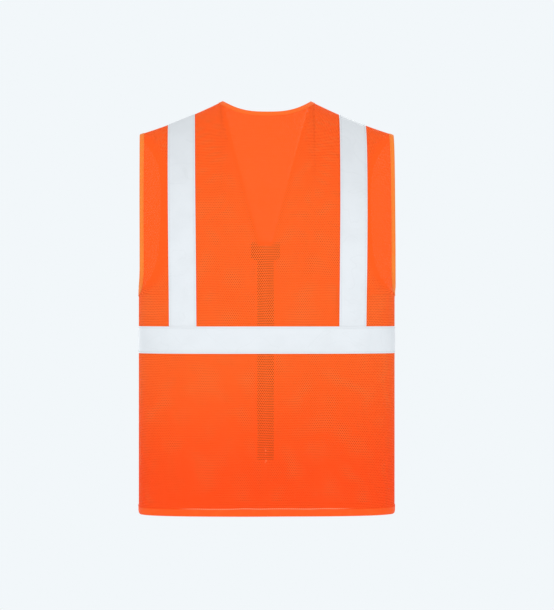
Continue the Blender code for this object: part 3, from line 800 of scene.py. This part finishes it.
def binding_finish(cloth, name, tint):
    """Narrow woven tape with fine ribs along it and a slight sheen."""
    finish = Finish(name, tint, 0.62, painted_glow=cloth.painted_glow, gloss=0.2)
    along, up = finish.metres()
    rib = (along / BINDING_RIB).wave()
    pick = (up / BINDING_PICK).wave()
    z = finish.place()[3]
    # Painted shade: the bindings are painted darker towards the hem.
    color = finish.mix(tint, cloth.hem_shade_binding_orange, z.ramp(-0.36, -0.70))
    wear = finish.noise(60.0, 4.0)
    color = finish.mix(color, cloth.orange, wear.ramp(0.45, 0.8) * 0.35 + pick * 0.06)
    finish.paint_with_glow(color)
    finish.feed("Roughness", 0.55 + rib * 0.12 + wear * 0.1)
    finish.bump(rib * 0.6 + pick * 0.4 + wear * 0.5, 0.00018, 0.7)
    return finish.material


def tape_finish(cloth):
    """Retroreflective tape: a satin skin of glass beads over a fine weave, with a few creases. The creases
    and the tops of the tapes get painted shade.
    """
    finish = Finish("reflective_tape_skin", cloth.silver, 0.42)
    bead = finish.noise(2600.0, 1.0)
    cloud = finish.noise(22.0, 4.0)
    along, up = finish.metres()
    weave = (along / BACKING_THREAD).math("SINE") * (up / BACKING_THREAD).math("SINE")
    inputs = {"Vector": finish.place()[0], "Scale": 9.0, "Distortion": 1.6}
    bowed = finish.ink.node("ShaderNodeTexNoise", inputs=inputs)
    crease = 1.0 - ((bowed - 0.5).math("ABSOLUTE")).ramp(0.0, 0.012)
    # Painted shade: the tapes are painted darker towards the top, over the shoulders.
    painted_top_shade = finish.place()[3].ramp(-0.34, -0.06)
    # wear here is random tone plus painted shade in the creases and towards the top.
    wear = cloud.ramp(0.35, 0.8) * 0.3 + crease * 0.2 + painted_top_shade * 0.8
    finish.paint(cloth.silver, shaded(cloth.silver, 0.87), wear)
    finish.feed("Roughness", 0.36 + cloud * 0.16 + bead * 0.05)
    finish.bump(weave * 0.25 + bead * 0.5 + crease * 0.6, 0.00012, 0.6)
    return finish.material


def zip_tape_finish(cloth):
    """Woven zip tape: a herringbone that turns every few millimetres."""
    finish = Finish("dark_zip_herringbone", cloth.dark, 0.8, gloss=0.1)
    along, up = finish.metres()
    lane = (along / TWILL_LANE).math("PINGPONG", 1.0)
    twill = ((up / TWILL_PITCH + lane * 2.0) * math.pi).wave()
    dust = finish.noise(180.0, 3.0)
    worn = twill * 0.5 + dust.ramp(0.5, 0.9) * 0.3
    finish.paint(cloth.dark, shaded(cloth.dark, 1.8, 0.002), worn)
    finish.feed("Roughness", 0.72 + dust * 0.2)
    finish.bump(twill, 0.00016, 0.8)
    return finish.material


def plastic_finish(cloth):
    """Moulded zip plastic: a fine eggshell grain and rubbed high spots."""
    finish = Finish("dark_moulded_plastic", cloth.dark, 0.38, coat=0.1)
    grain = finish.noise(1400.0, 3.0)
    rubbed = finish.noise(120.0, 3.0)
    finish.paint(cloth.dark, shaded(cloth.dark, 1.8, 0.01), rubbed.ramp(0.5, 0.8) * 0.4)
    finish.feed("Roughness", 0.30 + grain * 0.15 + rubbed * 0.12)
    finish.bump(grain, 0.00005, 0.5)
    return finish.material


def enamel_finish(cloth):
    """Die-cast slider under dark enamel, worn to the metal in small spots."""
    finish = Finish("dark_slider_enamel", cloth.dark, 0.30, coat=0.35)
    spots = finish.noise(420.0, 5.0)
    worn = spots.ramp(0.66, 0.72)
    finish.paint(cloth.dark, BARE_METAL, worn)
    finish.feed("Metallic", worn * 0.9 + 0.05)
    finish.feed("Roughness", 0.26 + spots * 0.2)
    finish.bump(spots, 0.00004, 0.4)
    return finish.material


def label_finish(cloth):
    """Blank satin label: close bright warp threads and a soft sheen."""
    finish = Finish("white_satin_label", cloth.white, 0.5)
    warp = (finish.metres()[0] / SATIN_WARP).wave()
    crumple = finish.noise(90.0, 3.0)
    finish.paint(cloth.white, shaded(cloth.white, 0.9), crumple.ramp(0.4, 0.8) * 0.6)
    finish.feed("Roughness", 0.40 + warp * 0.1 + crumple * 0.1)
    finish.bump(warp * 0.4 + crumple, 0.0002, 0.5)
    return finish.material


def thread_finish(name, color, painted_glow=0.0):
    """Twisted sewing thread."""
    finish = Finish(name, color, 0.5, painted_glow=painted_glow)
    ply = finish.noise(5200.0, 1.0)
    finish.paint(color, shaded(color, 0.8), ply.ramp(0.4, 0.6))
    finish.bump(ply, 0.00006, 0.6)
    return finish.material


def floor_finish():
    """A pale studio floor."""
    finish = Finish("pale_floor", FLOOR_COLOR, 0.9)
    grain = finish.noise(3.0, 3.0)
    finish.paint(FLOOR_COLOR, FLOOR_SHADE, grain)
    return finish.material


RECIPES = {
    "knit": lambda cloth: mesh_finish(cloth, "orange_mesh_knit", cloth.hole_clear),
    "front_knit": lambda cloth: mesh_finish(cloth, "orange_front_mesh_knit", cloth.front_hole_clear),
    "woven": lambda cloth: binding_finish(cloth, "orange_binding_weave", cloth.neck_orange),
    "armhole_woven": lambda cloth: binding_finish(cloth, "armhole_binding_weave", cloth.binding_orange),
    "silver": tape_finish,
    "orange_thread": lambda cloth: thread_finish("orange_thread", cloth.neck_orange, cloth.painted_glow),
    "silver_thread": lambda cloth: thread_finish("silver_thread", cloth.thread_grey),
    "zip_tape": zip_tape_finish,
    "plastic": plastic_finish,
    "enamel": enamel_finish,
    "label": label_finish,
}
MATERIALS = {}


def material(recipe):
    """Each finish is made once, when the first piece asks for it."""
    if recipe not in MATERIALS:
        MATERIALS[recipe] = RECIPES[recipe](bpy.context.scene.vest_cloth)
    return MATERIALS[recipe]


# Settings


def tone(name, description, value):
    """A colour setting."""
    return FloatVectorProperty(
        name=name, description=description, default=value, size=3, min=0.0, max=1.0, subtype="COLOR"
    )


def measure(name, description, value, **settings):
    """A setting with one number."""
    return FloatProperty(name=name, description=description, default=value, **settings)


class VestCloth(bpy.types.PropertyGroup):
    """Colours and fabric sizes that a maker would change."""

    orange: tone("Mesh orange", "Fluorescent orange at the middle of the vest", (0.95, 0.134, 0.0180))
    # Painted shade towards the hem; the same colour tints the random patches and, darker, the painted shade
    # round each hole.
    shade_and_patch_orange: tone("Hem orange", "The mesh's deeper orange near the hem", (0.95, 0.076, 0.0085))
    # Painted shade over the shoulders.
    shoulder_shade_orange: tone("Shoulder orange", "The mesh's orange over the shoulders", (0.95, 0.118, 0.0140))
    # Painted shade inside the neck's V and behind the scooped armholes.
    shade_zone_orange: tone("Close orange", "Orange of the knit where it is drawn close", (0.92, 0.094, 0.0080))
    binding_orange: tone("Armhole orange", "Lighter orange of the armhole bindings", (0.82, 0.205, 0.024))
    neck_orange: tone("Neck orange", "Orange of the neck and front bindings", (0.88, 0.130, 0.012))
    # Painted shade of the bindings towards the hem.
    hem_shade_binding_orange: tone("Hem band orange", "Orange of the hem binding", (0.88, 0.084, 0.0045))
    silver: tone("Tape silver", "Reflective tape in plain light", (0.723, 0.736, 0.754))
    thread_grey: tone("Tape thread", "Thread that holds the tape down", (0.66, 0.67, 0.69))
    dark: tone("Zip dark", "Zip tape, teeth and slider", (0.014, 0.014, 0.016))
    white: tone("Label white", "The blank care label", (0.80, 0.80, 0.78))
    hole_tint: tone("Hole tint", "Colour of light that comes through the holes", (1.0, 0.60, 0.35))
    hole_pitch: measure("Hole pitch", "From one hole of the mesh to the next", 0.0036, unit="LENGTH")
    hole_radius: measure("Hole radius", "Radius of a hole as a share of the pitch", 0.235, subtype="FACTOR")
    hole_clear: measure("Hole clearness", "How clear of stray fibres a hole is", 0.95, subtype="FACTOR")
    front_hole_clear: measure(
        "Front hole clearness", "The same for the fronts' knit", 0.3, subtype="FACTOR"
    )
    # Clearness of the holes where that painted shade lies.
    shade_zone_clearness: measure(
        "Close knit", "Clearness left where the knit is drawn close", 0.13, subtype="FACTOR"
    )
    # Painted glow, which stands in for the dye's fluorescence: it shines the same with no lamp.
    painted_glow: measure("Fluorescence", "Light that the dye adds of its own", 0.10, subtype="FACTOR")
    fold_band: measure("Fold band", "Width of cloth that turns when a front is opened", 0.05, unit="LENGTH")


class VestStage(bpy.types.PropertyGroup):
    """Sizes of the camera, lights and floor."""

    distance: measure("Camera distance", "From the side seams to the camera", 4.6, unit="LENGTH")
    lens: measure("Lens", "Focal length in millimetres", 142.6)
    camera_height: measure(
        "Camera height", "Height of the camera over the neck points", -0.3875, unit="LENGTH"
    )
    camera_side: measure("Camera side", "How far the camera stands to the right", 0.0195, unit="LENGTH")
    turn: measure("Camera turn", "Turn of the camera round the vest", math.radians(-1.57), subtype="ANGLE")
    floor_height: measure(
        "Floor height", "Height of the floor under the hanging vest", -1.50, unit="LENGTH"
    )
    sky: tone("Backdrop", "Even light round the vest, which is also the backdrop", (0.8879, 0.9301, 0.9559))


# Pieces


def strip_flat(rows, closed=False):
    """The unfolded size of a strip: its mean width across and its length."""
    widths = [sum((b - a).length for a, b in zip(row, row[1:])) for row in rows]
    middle = [row[len(row) // 2] for row in rows]
    middle += middle[:1] if closed else []
    return sum(widths) / len(widths), sum((b - a).length for a, b in zip(middle, middle[1:]))


def declare_strip(rows, closed=False):
    """Works out a strip's unfolded size from rows that each run across it, and keeps nothing."""
    strip_flat(rows, closed)


def bind_edge(stem, kind, line, turn, recipe, nodes, side=None, mirror=False, closed=False, hem=False):
    """A binding folded over the edge along a line, and its stitches. A front's ones have their transforms
    baked.
    """
    body = None if side else SHELL
    width, reach = (HEM_WIDTH, HEM_SEAM) if hem else (BINDING, BINDING_SEAM)
    rows = strip_rows(line, turn, fold_profile(width), closed)
    mesh = grid_mesh(f"{stem}_{kind}", rows, closed, mirror)
    obj = finish_object(f"{stem}_{kind}", mesh, recipe, body, nodes)
    declare_strip(rows, closed)
    if side:
        bend(obj, side)
    seam = [row[0] for row in strip_rows(line, turn, [(reach, THREAD_LIFT)], closed)]
    mesh = stitch_mesh(f"{stem}_stitches", [seam + seam[:1] if closed else seam])
    obj = finish_object(f"{stem}_stitches", mesh, "orange_thread", body)
    if side:
        bend(obj, side)


def sew_tape(stem, rows, lengths, lines, nodes, side=None, mirror=False):
    """A reflective tape and its lines of stitches. A front's ones have their transforms baked."""
    body = None if side else SHELL
    mesh = grid_mesh(f"{stem}_reflector", rows, mirror=mirror)
    obj = finish_object(f"{stem}_reflector", mesh, "silver", body, nodes)
    declare_strip(lengths)
    if side:
        bend(obj, side)
    mesh = stitch_mesh(f"{stem}_stitches", lines)
    obj = finish_object(f"{stem}_stitches", mesh, "silver_thread", body)
    if side:
        bend(obj, side)


class VEST_OT_back(bpy.types.Operator):
    """The back panel, one sheet of mesh from seam to seam"""

    bl_idname = "vest.back"
    bl_label = "Back Panel"

    def execute(self, context):
        rows = [[lifted(p, 0.0) for p in whole(row)] for row in back_half_rows()]
        mesh = grid_mesh("back_mesh", rows, zero=len(rows[0]) // 2, level_rows=level_row_count())
        obj = finish_object("back_mesh", mesh, "knit", SHELL, ["back_panel"])
        return {"FINISHED"}


class VEST_OT_fronts(bpy.types.Operator):
    """The two front panels, each one sheet from its zip to the side seam"""

    bl_idname = "vest.fronts"
    bl_label = "Front Panels"

    def execute(self, context):
        rows = front_rows()
        for side, sign in SIDES:
            made = [[lifted(p, 0.0) for p in handed(row, sign)] for row in rows]
            mesh = grid_mesh(f"{side}_front_mesh", made, mirror=sign < 0, level_rows=level_row_count())
            nodes = [f"{side}_front_side_panel", f"{side}_front_centre_panel"]
            obj = finish_object(f"{side}_front_mesh", mesh, "front_knit", None, nodes)
            bend(obj, side)
        return {"FINISHED"}


def back_neck_line():
    """The edge under the back neck binding, from one shoulder seam to the other."""
    neck_point = NECK_HALF + BINDING
    half = [shell(x, back_neck_height(x, BINDING), BACK) for x in even(0.0, neck_point, 40)]
    return evenly(whole(half), EDGE_STEP)


def front_edge_line():
    """The right front's edge, from the hem up the V of the neck to the shoulder seam."""

    def inner(z):
        return neck_edge_x(z, BINDING)

    foot = ridge(SHOULDER_FOOT_X) - SHOULDER_ROUND
    heights = even(-LENGTH, -NECK_V_DEPTH, 120) + even(-NECK_V_DEPTH, foot, 12)[1:]
    line = [shell(inner(z), z, FRONT) for z in heights]
    start = turn_at(inner(foot), foot)
    line += [shoulder(meeting_x(inner, turn), turn, FRONT) for turn in even(start, 0.0, 50)[1:]]
    return evenly(line, EDGE_STEP)


def armhole_line():
    """The right armhole, from the side seam up the back and down the front."""

    def outer(z):
        return front_armhole_x(z, BINDING)

    foot = -UNDERARM - BINDING
    top = -UNDERARM + ARMHOLE_CORNER
    turns = even(0, math.pi / 2, 20)
    heights = [foot + (top - foot) * (1 - math.cos(turn)) for turn in turns]
    edge = back_armhole_x(-SHOULDER_DROP, BINDING)
    shoulder_foot = ridge(edge) - SHOULDER_ROUND
    heights += even(top, shoulder_foot, 4)[1:]
    back = [shell(back_armhole_x(z, BINDING), z, BACK) for z in heights]
    back += [shoulder(edge, turn, BACK) for turn in even(math.pi / 2, 0.0, 40)[1:]]
    front = [shell(outer(z), z, FRONT) for z in heights]
    front += [shoulder(meeting_x(outer, turn), turn, FRONT) for turn in even(math.pi / 2, 0.0, 40)[1:-1]]
    return evenly(back + front[:0:-1], EDGE_STEP, closed=True)


class VEST_OT_long_bindings(bpy.types.Operator):
    """The binding of the neck and the front edges, in three lengths that meet at the shoulder seams"""

    bl_idname = "vest.long_bindings"
    bl_label = "Neck and Front Bindings"

    def execute(self, context):
        bind_edge("back_neck", "binding", back_neck_line(), 1, "woven", ["neck_binding"])
        half = front_edge_line()
        for side, sign in SIDES:
            line = handed(half, sign)
            nodes = ["neck_binding", f"{side}_front_edge_binding"]
            bind_edge(f"{side}_edge", "binding", line, -sign, "woven", nodes, side, mirror=sign < 0)
        return {"FINISHED"}


class VEST_OT_armhole_bindings(bpy.types.Operator):
    """The folded binding round each armhole, with its row of stitches"""

    bl_idname = "vest.armhole_bindings"
    bl_label = "Armhole Bindings"

    def execute(self, context):
        half = armhole_line()
        for side, sign in SIDES:
            line = handed(half, sign)
            nodes = [f"{side}_armhole_binding"]
            bind_edge(
                f"{side}_armhole", "tape", line, -sign, "armhole_woven", nodes, mirror=sign < 0, closed=True
            )
        return {"FINISHED"}


class VEST_OT_hems(bpy.types.Operator):
    """The hem bindings of the back and the two fronts"""

    bl_idname = "vest.hems"
    bl_label = "Hems"

    def execute(self, context):
        foot = -LENGTH + HEM_WIDTH
        half = [shell(x, foot, BACK) for x in section_xs(0.0, HALF_WIDTH, HEM_SAMPLES)]
        line = evenly(whole(half), EDGE_STEP)
        bind_edge("back_hem", "tape", line, -1, "woven", ["back_hem_binding"], hem=True)
        start = neck_edge_x(-LENGTH, BINDING)
        half = [shell(x, foot, FRONT) for x in section_xs(start, HALF_WIDTH, HEM_SAMPLES)]
        half = evenly(half, EDGE_STEP)
        for side, sign in SIDES:
            line = handed(half, sign)
            nodes = [f"{side}_front_side_hem_binding", f"{side}_front_centre_hem_binding"]
            stem = f"{side}_front_hem"
            bind_edge(stem, "tape", line, sign, "woven", nodes, side, mirror=sign < 0, hem=True)
        return {"FINISHED"}


def tape_lifts():
    """Heights across a tape, which is pressed down at its two edges."""
    shares = [min(1.0, 6 * share, 6 * (1 - share)) for share in even(0, 1, TAPE_ROWS)]
    return [TAPE_LIFT * (0.62 + 0.38 * share) for share in shares]


def crossing(p):
    """The extra height of the waist tape where it lies over the end of a shoulder tape."""
    beside = max(TAPE_INNER_X - abs(p.x), abs(p.x) - TAPE_OUTER_X, 0.0)
    down = (WAIST_TOP - p.z) / (WAIST_TOP - WAIST_FOOT)
    return TAPE_LIFT * 1.1 * smooth(1 - beside / 0.010) * smooth(1.4 - 1.4 * down)


def waist_rows(side, low, high, count, spread_out):
    """Rows of a waist tape. spread_out makes the whole row from the one on the wearer's right."""
    rows = []
    for z, lift in zip(even(WAIST_FOOT, WAIST_TOP, TAPE_ROWS), tape_lifts()):
        row = across(lambda x: shell(x, z, side), low, high, count)
        rows.append([lifted(p, lift + crossing(p)) for p in spread_out(row)])
    return rows


def waist_seams(side, low, high, spread_out):
    """The two lines of stitches beside a waist tape's edges."""
    lines = []
    for z in (WAIST_FOOT + TAPE_SEAM, WAIST_TOP - TAPE_SEAM):
        row = across(lambda x: shell(x, z, side), low, high, CURVE_SAMPLES)
        lines.append([lifted(p, TAPE_LIFT + crossing(p) + TAPE_THREAD_LIFT) for p in spread_out(row)])
    return lines


class VEST_OT_waist_tapes(bpy.types.Operator):
    """The reflective tape round the waist, in a back and two front lengths sewn into the side seams"""

    bl_idname = "vest.waist_tapes"
    bl_label = "Waist Tapes"

    def execute(self, context):
        rows = waist_rows(BACK, 0.0, HALF_WIDTH, 56, whole)
        lines = waist_seams(BACK, 0.0, HALF_WIDTH, whole)
        sew_tape("back_waist", rows, list(zip(*rows)), lines, ["back_waist_tape"])
        start = FRONT_EDGE_X + BINDING * 0.9
        for side, sign in SIDES:

            def turned(row, sign=sign):
                return handed(row, sign)

            rows = waist_rows(FRONT, start, HALF_WIDTH, 60, turned)
            lines = waist_seams(FRONT, start, HALF_WIDTH, turned)
            nodes = [f"{side}_front_side_waist_tape", f"{side}_front_centre_waist_tape"]
            sew_tape(f"{side}_waist", rows, list(zip(*rows)), lines, nodes, side, sign < 0)
        return {"FINISHED"}


def shoulder_path(x):
    """A line over the shoulder at x, from the waist tape's top at the back to the same at the front."""
    foot = ridge(x) - SHOULDER_ROUND
    low = WAIST_TOP - TAPE_UNDER

    def lean(z):
        return x - TAPE_LEAN * z / low

    back = [shell(lean(z), z, BACK) for z in even(low, foot, 40)]
    for turn in even(math.pi / 2, 0.0, 50)[1:]:
        back.append(shoulder(lean(ridge(x) - SHOULDER_ROUND * (1 - math.cos(turn))), turn, BACK))
    lean_top = lean(ridge(x))
    front = [shoulder(lean_top, turn, FRONT) for turn in even(0.0, math.pi / 2, 50)[1:]]
    down = [shell(lean_top, z, FRONT) for z in even(foot, low, 40)[1:]]
    return back + front + down


class VEST_OT_shoulder_tapes(bpy.types.Operator):
    """The two reflective tapes that run from the waist at the back over the shoulder to the front"""

    bl_idname = "vest.shoulder_tapes"
    bl_label = "Shoulder Tapes"

    def execute(self, context):
        xs = even(TAPE_INNER_X, TAPE_OUTER_X, TAPE_ROWS)
        for side, sign in SIDES:
            columns = []
            for x, lift in zip(xs, tape_lifts()):
                columns.append([lifted(p, lift) for p in handed(shoulder_path(x), sign)])
            rows = list(zip(*columns))
            lines = []
            for x in (TAPE_INNER_X + TAPE_SEAM, TAPE_OUTER_X - TAPE_SEAM):
                path = handed(shoulder_path(x), sign)
                lines.append([lifted(p, TAPE_LIFT + TAPE_THREAD_LIFT) for p in path])
            nodes = [f"{side}_back_shoulder_tape", f"{side}_front_shoulder_tape"]
            sew_tape(f"{side}_shoulder", rows, rows, lines, nodes, mirror=sign < 0)
        return {"FINISHED"}


class VEST_OT_seams(bpy.types.Operator):
    """The overlocked side and shoulder seams, each a row of stitches"""

    bl_idname = "vest.seams"
    bl_label = "Seams"

    def execute(self, context):
        low, high = -LENGTH + SEAM_HEM_GAP, -UNDERARM - SEAM_UNDERARM_GAP
        side_seam = [shell(HALF_WIDTH, z, BACK) for z in even(low, high, 80)]
        tip = back_armhole_x(-SHOULDER_DROP, BINDING)
        over = [shoulder(x, 0.0, BACK) for x in even(NECK_HALF + BINDING, tip, 40)]
        for side, sign in SIDES:
            lines = [[lifted(p, 0.0) for p in handed(line, sign)] for line in (side_seam, over)]
            mesh = stitch_mesh(f"{side}_seam_stitches", lines, pitch=0.0024, long=0.0024, thick=0.0005)
            finish_object(f"{side}_seam_stitches", mesh, "orange_thread", SHELL)
        return {"FINISHED"}


class VEST_OT_label(bpy.types.Operator):
    """The blank care label inside the left front"""

    bl_idname = "vest.label"
    bl_label = "Care Label"

    def execute(self, context):
        low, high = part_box("care_label")
        rows = []
        for z in even(low[2], high[2], 10):
            curl = 0.0016 * (1 - (z - low[2]) / (high[2] - low[2]))
            line = []
            for y in even(0.0006, high[1], 8):
                x = -HALF_WIDTH * (1 - (y / half_depth(z)) ** SECTION_POWER) ** (1 / SECTION_POWER)
                line.append(Vector((x + 0.0012 + curl * y / high[1], y, z)))
            rows.append(line)
        mesh = grid_mesh("blank_label", rows)
        obj = finish_object("blank_label", mesh, "label", SHELL, ["care_label"])
        declare_strip(list(zip(*rows)))
        return {"FINISHED"}


# The zip, in a frame at its top: x to the wearer's left, y into the vest and z up the front edge


def zip_matrix():
    """From the zip's own frame to the vest's."""
    turned = Matrix.Rotation(math.pi, 4, "Z") @ Matrix.Rotation(ZIP_LEAN, 4, "X")
    return Matrix.Translation(shell(0.0, -NECK_V_DEPTH, FRONT)) @ turned


def zip_length():
    """The length of the zip along its lean."""
    return (ZIP_TOP - ZIP_FOOT) / math.cos(ZIP_LEAN)


class VEST_OT_zip_tapes(bpy.types.Operator):
    """The woven tapes of the zip, each with its end turned out flat at the top"""

    bl_idname = "vest.zip_tapes"
    bl_label = "Zip Tapes"

    def execute(self, context):
        length = zip_length()
        heights = even(-length, -ZIP_TAIL, 90) + even(-ZIP_TAIL, ZIP_TAIL_RISE, 8)[1:]
        for side, sign in SIDES:
            rows = []
            for z in heights:
                share = min(1.0, max(0.0, (z + ZIP_TAIL + ZIP_TAIL_TURN) / ZIP_TAIL_TURN))
                outer = ZIP_HALF + (ZIP_TAIL_HALF - ZIP_HALF) * share
                inner = ZIP_PIN_EDGE if z < PIN_TOP - length else ZIP_INNER
                row = []
                for k, x in enumerate(even(inner, outer, ZIP_COLUMNS)):
                    y = ZIP_Y if k else ZIP_Y + ZIP_SWELL
                    row.append(zip_matrix() @ Vector((-sign * x, y, z)))
                rows.append(row)
            mesh = grid_mesh(f"{side}_zip_weave", rows)
            nodes = [f"{side}_zip_tape"]
            obj = finish_object(f"{side}_zip_weave", mesh, "zip_tape", f"{side}_front", nodes)
        return {"FINISHED"}


def tooth_profile(sign):
    """One moulded tooth from the cord to its tip, in x and z: a clamped root, a neck and a round head."""
    half = [(0.0048, 0.0012), (0.0040, 0.0016), (0.0027, 0.0015), (0.0018, 0.0011), (0.0010, 0.00105)]
    half += [(0.0002, 0.0012), (-0.0010, 0.0012), (-0.0016, 0.0008)]
    points = half + [(x, -z) for x, z in reversed(half)]
    return [(sign * x, z) for x, z in points]


def chain_mesh(name, sign, length):
    """A row of teeth clamped on the tape's edge, with the cord that runs through them."""
    shape = bmesh.new()
    shift = 0.0 if sign > 0 else TOOTH_PITCH / 2
    count = int((length - TOOTH_FOOT - TOOTH_TOP - shift) / TOOTH_PITCH)
    centre = sign * 0.002
    for i in range(count):
        middle = -length + TOOTH_FOOT + TOOTH_PITCH * (i + 0.5) + shift
        rings = []
        for y, size in ((-0.0012, 0.80), (-0.0009, 1.0), (0.0009, 1.0), (0.0012, 0.80)):
            ring = []
            for x, z in tooth_profile(sign):
                place = (centre + (x - centre) * size, ZIP_Y + y, middle + z * size)
                ring.append(shape.verts.new(place))
            rings.append(ring)
        skin(shape, rings)
    rings = []
    for z in (-length + TOOTH_FOOT, -TOOTH_TOP):
        ring = []
        for k in range(CORD_SIDES):
            angle = math.tau * k / CORD_SIDES
            x = sign * CORD_X + CORD_RADIUS * math.cos(angle)
            y = ZIP_Y + CORD_RADIUS * math.sin(angle)
            ring.append(shape.verts.new((x, y, z)))
        rings.append(ring)
    skin(shape, rings)
    bmesh.ops.recalc_face_normals(shape, faces=shape.faces)
    shape.transform(zip_matrix())
    return settled(shape, name)


class VEST_OT_zip_teeth(bpy.types.Operator):
    """The two rows of moulded teeth, joined tooth by tooth"""

    bl_idname = "vest.zip_teeth"
    bl_label = "Zip Teeth"

    def execute(self, context):
        for side, sign in SIDES:
            mesh = chain_mesh(f"{side}_tooth_row", -sign, zip_length())
            nodes = [f"{side}_zip_teeth"]
            finish_object(f"{side}_tooth_row", mesh, "plastic", f"{side}_front", nodes)
        return {"FINISHED"}


# The zip's small pieces keep the frame's own shapes
FRAME_FINISHES = {
    "left_top_stop": "plastic",
    "right_top_stop": "plastic",
    "zip_retainer_box": "plastic",
    "zip_insertion_pin": "plastic",
    "zip_slider": "enamel",
    "zip_pull_tab": "enamel",
}


class VEST_OT_zip_metal(bpy.types.Operator):
    """Finishes for the stops, box, pin, slider and pull tab, whose shapes are the frame's own"""

    bl_idname = "vest.zip_metal"
    bl_label = "Slider and Stops"

    def execute(self, context):
        for name, recipe in FRAME_FINISHES.items():
            slots = frame["nodes"][name].material_slots
            if not slots:
                raise RuntimeError(f"{name} has no material slot")
            for slot in slots:
                slot.material = material(recipe)
        return {"FINISHED"}


# Stage

VEST_MIDDLE = Vector((0.0, 0.0, -0.38))
# Name, place, size and watts of each light
LIGHTS = (
    ("key", (-1.3, -3.4, 0.9), 2.2, 26),
    ("fill", (1.6, -3.0, -0.2), 2.0, 12),
    ("front_key", (1.2, 3.2, 0.8), 2.2, 26),
    ("front_fill", (-1.6, 3.0, -0.2), 2.0, 12),
)
FLOOR_RADIUS = 3.8


def area_light(name, place, size, power):
    """A square light that faces the middle of the vest."""
    data = bpy.data.lights.new(name, "AREA")
    data.shape = "SQUARE"
    data.size = size
    data.energy = power
    obj = bpy.data.objects.new(name, data)
    obj.location = place
    facing = VEST_MIDDLE - Vector(place)
    obj.rotation_euler = facing.to_track_quat("-Z", "Y").to_euler()
    bpy.context.scene.collection.objects.link(obj)


class VEST_OT_stage(bpy.types.Operator):
    """The camera, the soft studio light, the even backdrop and the pale floor"""

    bl_idname = "vest.stage"
    bl_label = "Stage"

    def execute(self, context):
        stage, scene = context.scene.vest_stage, context.scene
        camera = bpy.data.cameras.new("camera")
        camera.lens = stage.lens
        camera.sensor_width = 36.0
        camera.clip_end = 60.0
        holder = bpy.data.objects.new("camera", camera)
        turned = Matrix.Rotation(stage.turn, 3, "Z")
        holder.location = turned @ Vector((stage.camera_side, -stage.distance, stage.camera_height))
        holder.rotation_euler = (math.pi / 2, 0, stage.turn)
        scene.collection.objects.link(holder)
        scene.camera = holder
        world = bpy.data.worlds.new("even_light")
        world.use_nodes = True
        backdrop = world.node_tree.nodes["Background"]
        backdrop.inputs["Color"].default_value = (*stage.sky, 1.0)
        backdrop.inputs["Strength"].default_value = 1.0
        scene.world = world
        for light in LIGHTS:
            area_light(*light)
        bpy.ops.mesh.primitive_circle_add(vertices=96, radius=FLOOR_RADIUS, fill_type="NGON")
        floor = context.object
        floor.name = "floor"
        floor.location.z = stage.floor_height
        floor.data.materials.append(floor_finish())
        scene.view_settings.view_transform = "Standard"
        return {"FINISHED"}


STEPS = (
    VEST_OT_stage,
    VEST_OT_back,
    VEST_OT_fronts,
    VEST_OT_long_bindings,
    VEST_OT_armhole_bindings,
    VEST_OT_hems,
    VEST_OT_waist_tapes,
    VEST_OT_shoulder_tapes,
    VEST_OT_seams,
    VEST_OT_label,
    VEST_OT_zip_tapes,
    VEST_OT_zip_teeth,
    VEST_OT_zip_metal,
)


class VEST_PT_sidebar(bpy.types.Panel):
    """The vest's settings and its pieces, in the order they are made"""

    bl_label = "Vest"
    bl_idname = "VEST_PT_sidebar"
    bl_space_type = "VIEW_3D"
    bl_region_type = "UI"
    bl_category = "Vest"

    def draw(self, context):
        scene = context.scene
        for group, made in ((scene.vest_cloth, VestCloth), (scene.vest_stage, VestStage)):
            for name in made.__annotations__:
                self.layout.prop(group, name)
        for step in STEPS:
            self.layout.operator(step.bl_idname)


CLASSES = (VestCloth, VestStage, *STEPS, VEST_PT_sidebar)


def register():
    for made in CLASSES:
        bpy.utils.register_class(made)
    bpy.types.Scene.vest_cloth = PointerProperty(type=VestCloth)
    bpy.types.Scene.vest_stage = PointerProperty(type=VestStage)


def unregister():
    del bpy.types.Scene.vest_cloth
    del bpy.types.Scene.vest_stage
    for made in reversed(CLASSES):
        bpy.utils.unregister_class(made)


def main():
    register()
    for step in STEPS:
        group, name = step.bl_idname.split(".")
        getattr(getattr(bpy.ops, group), name)()


if __name__ == "__main__":
    main()
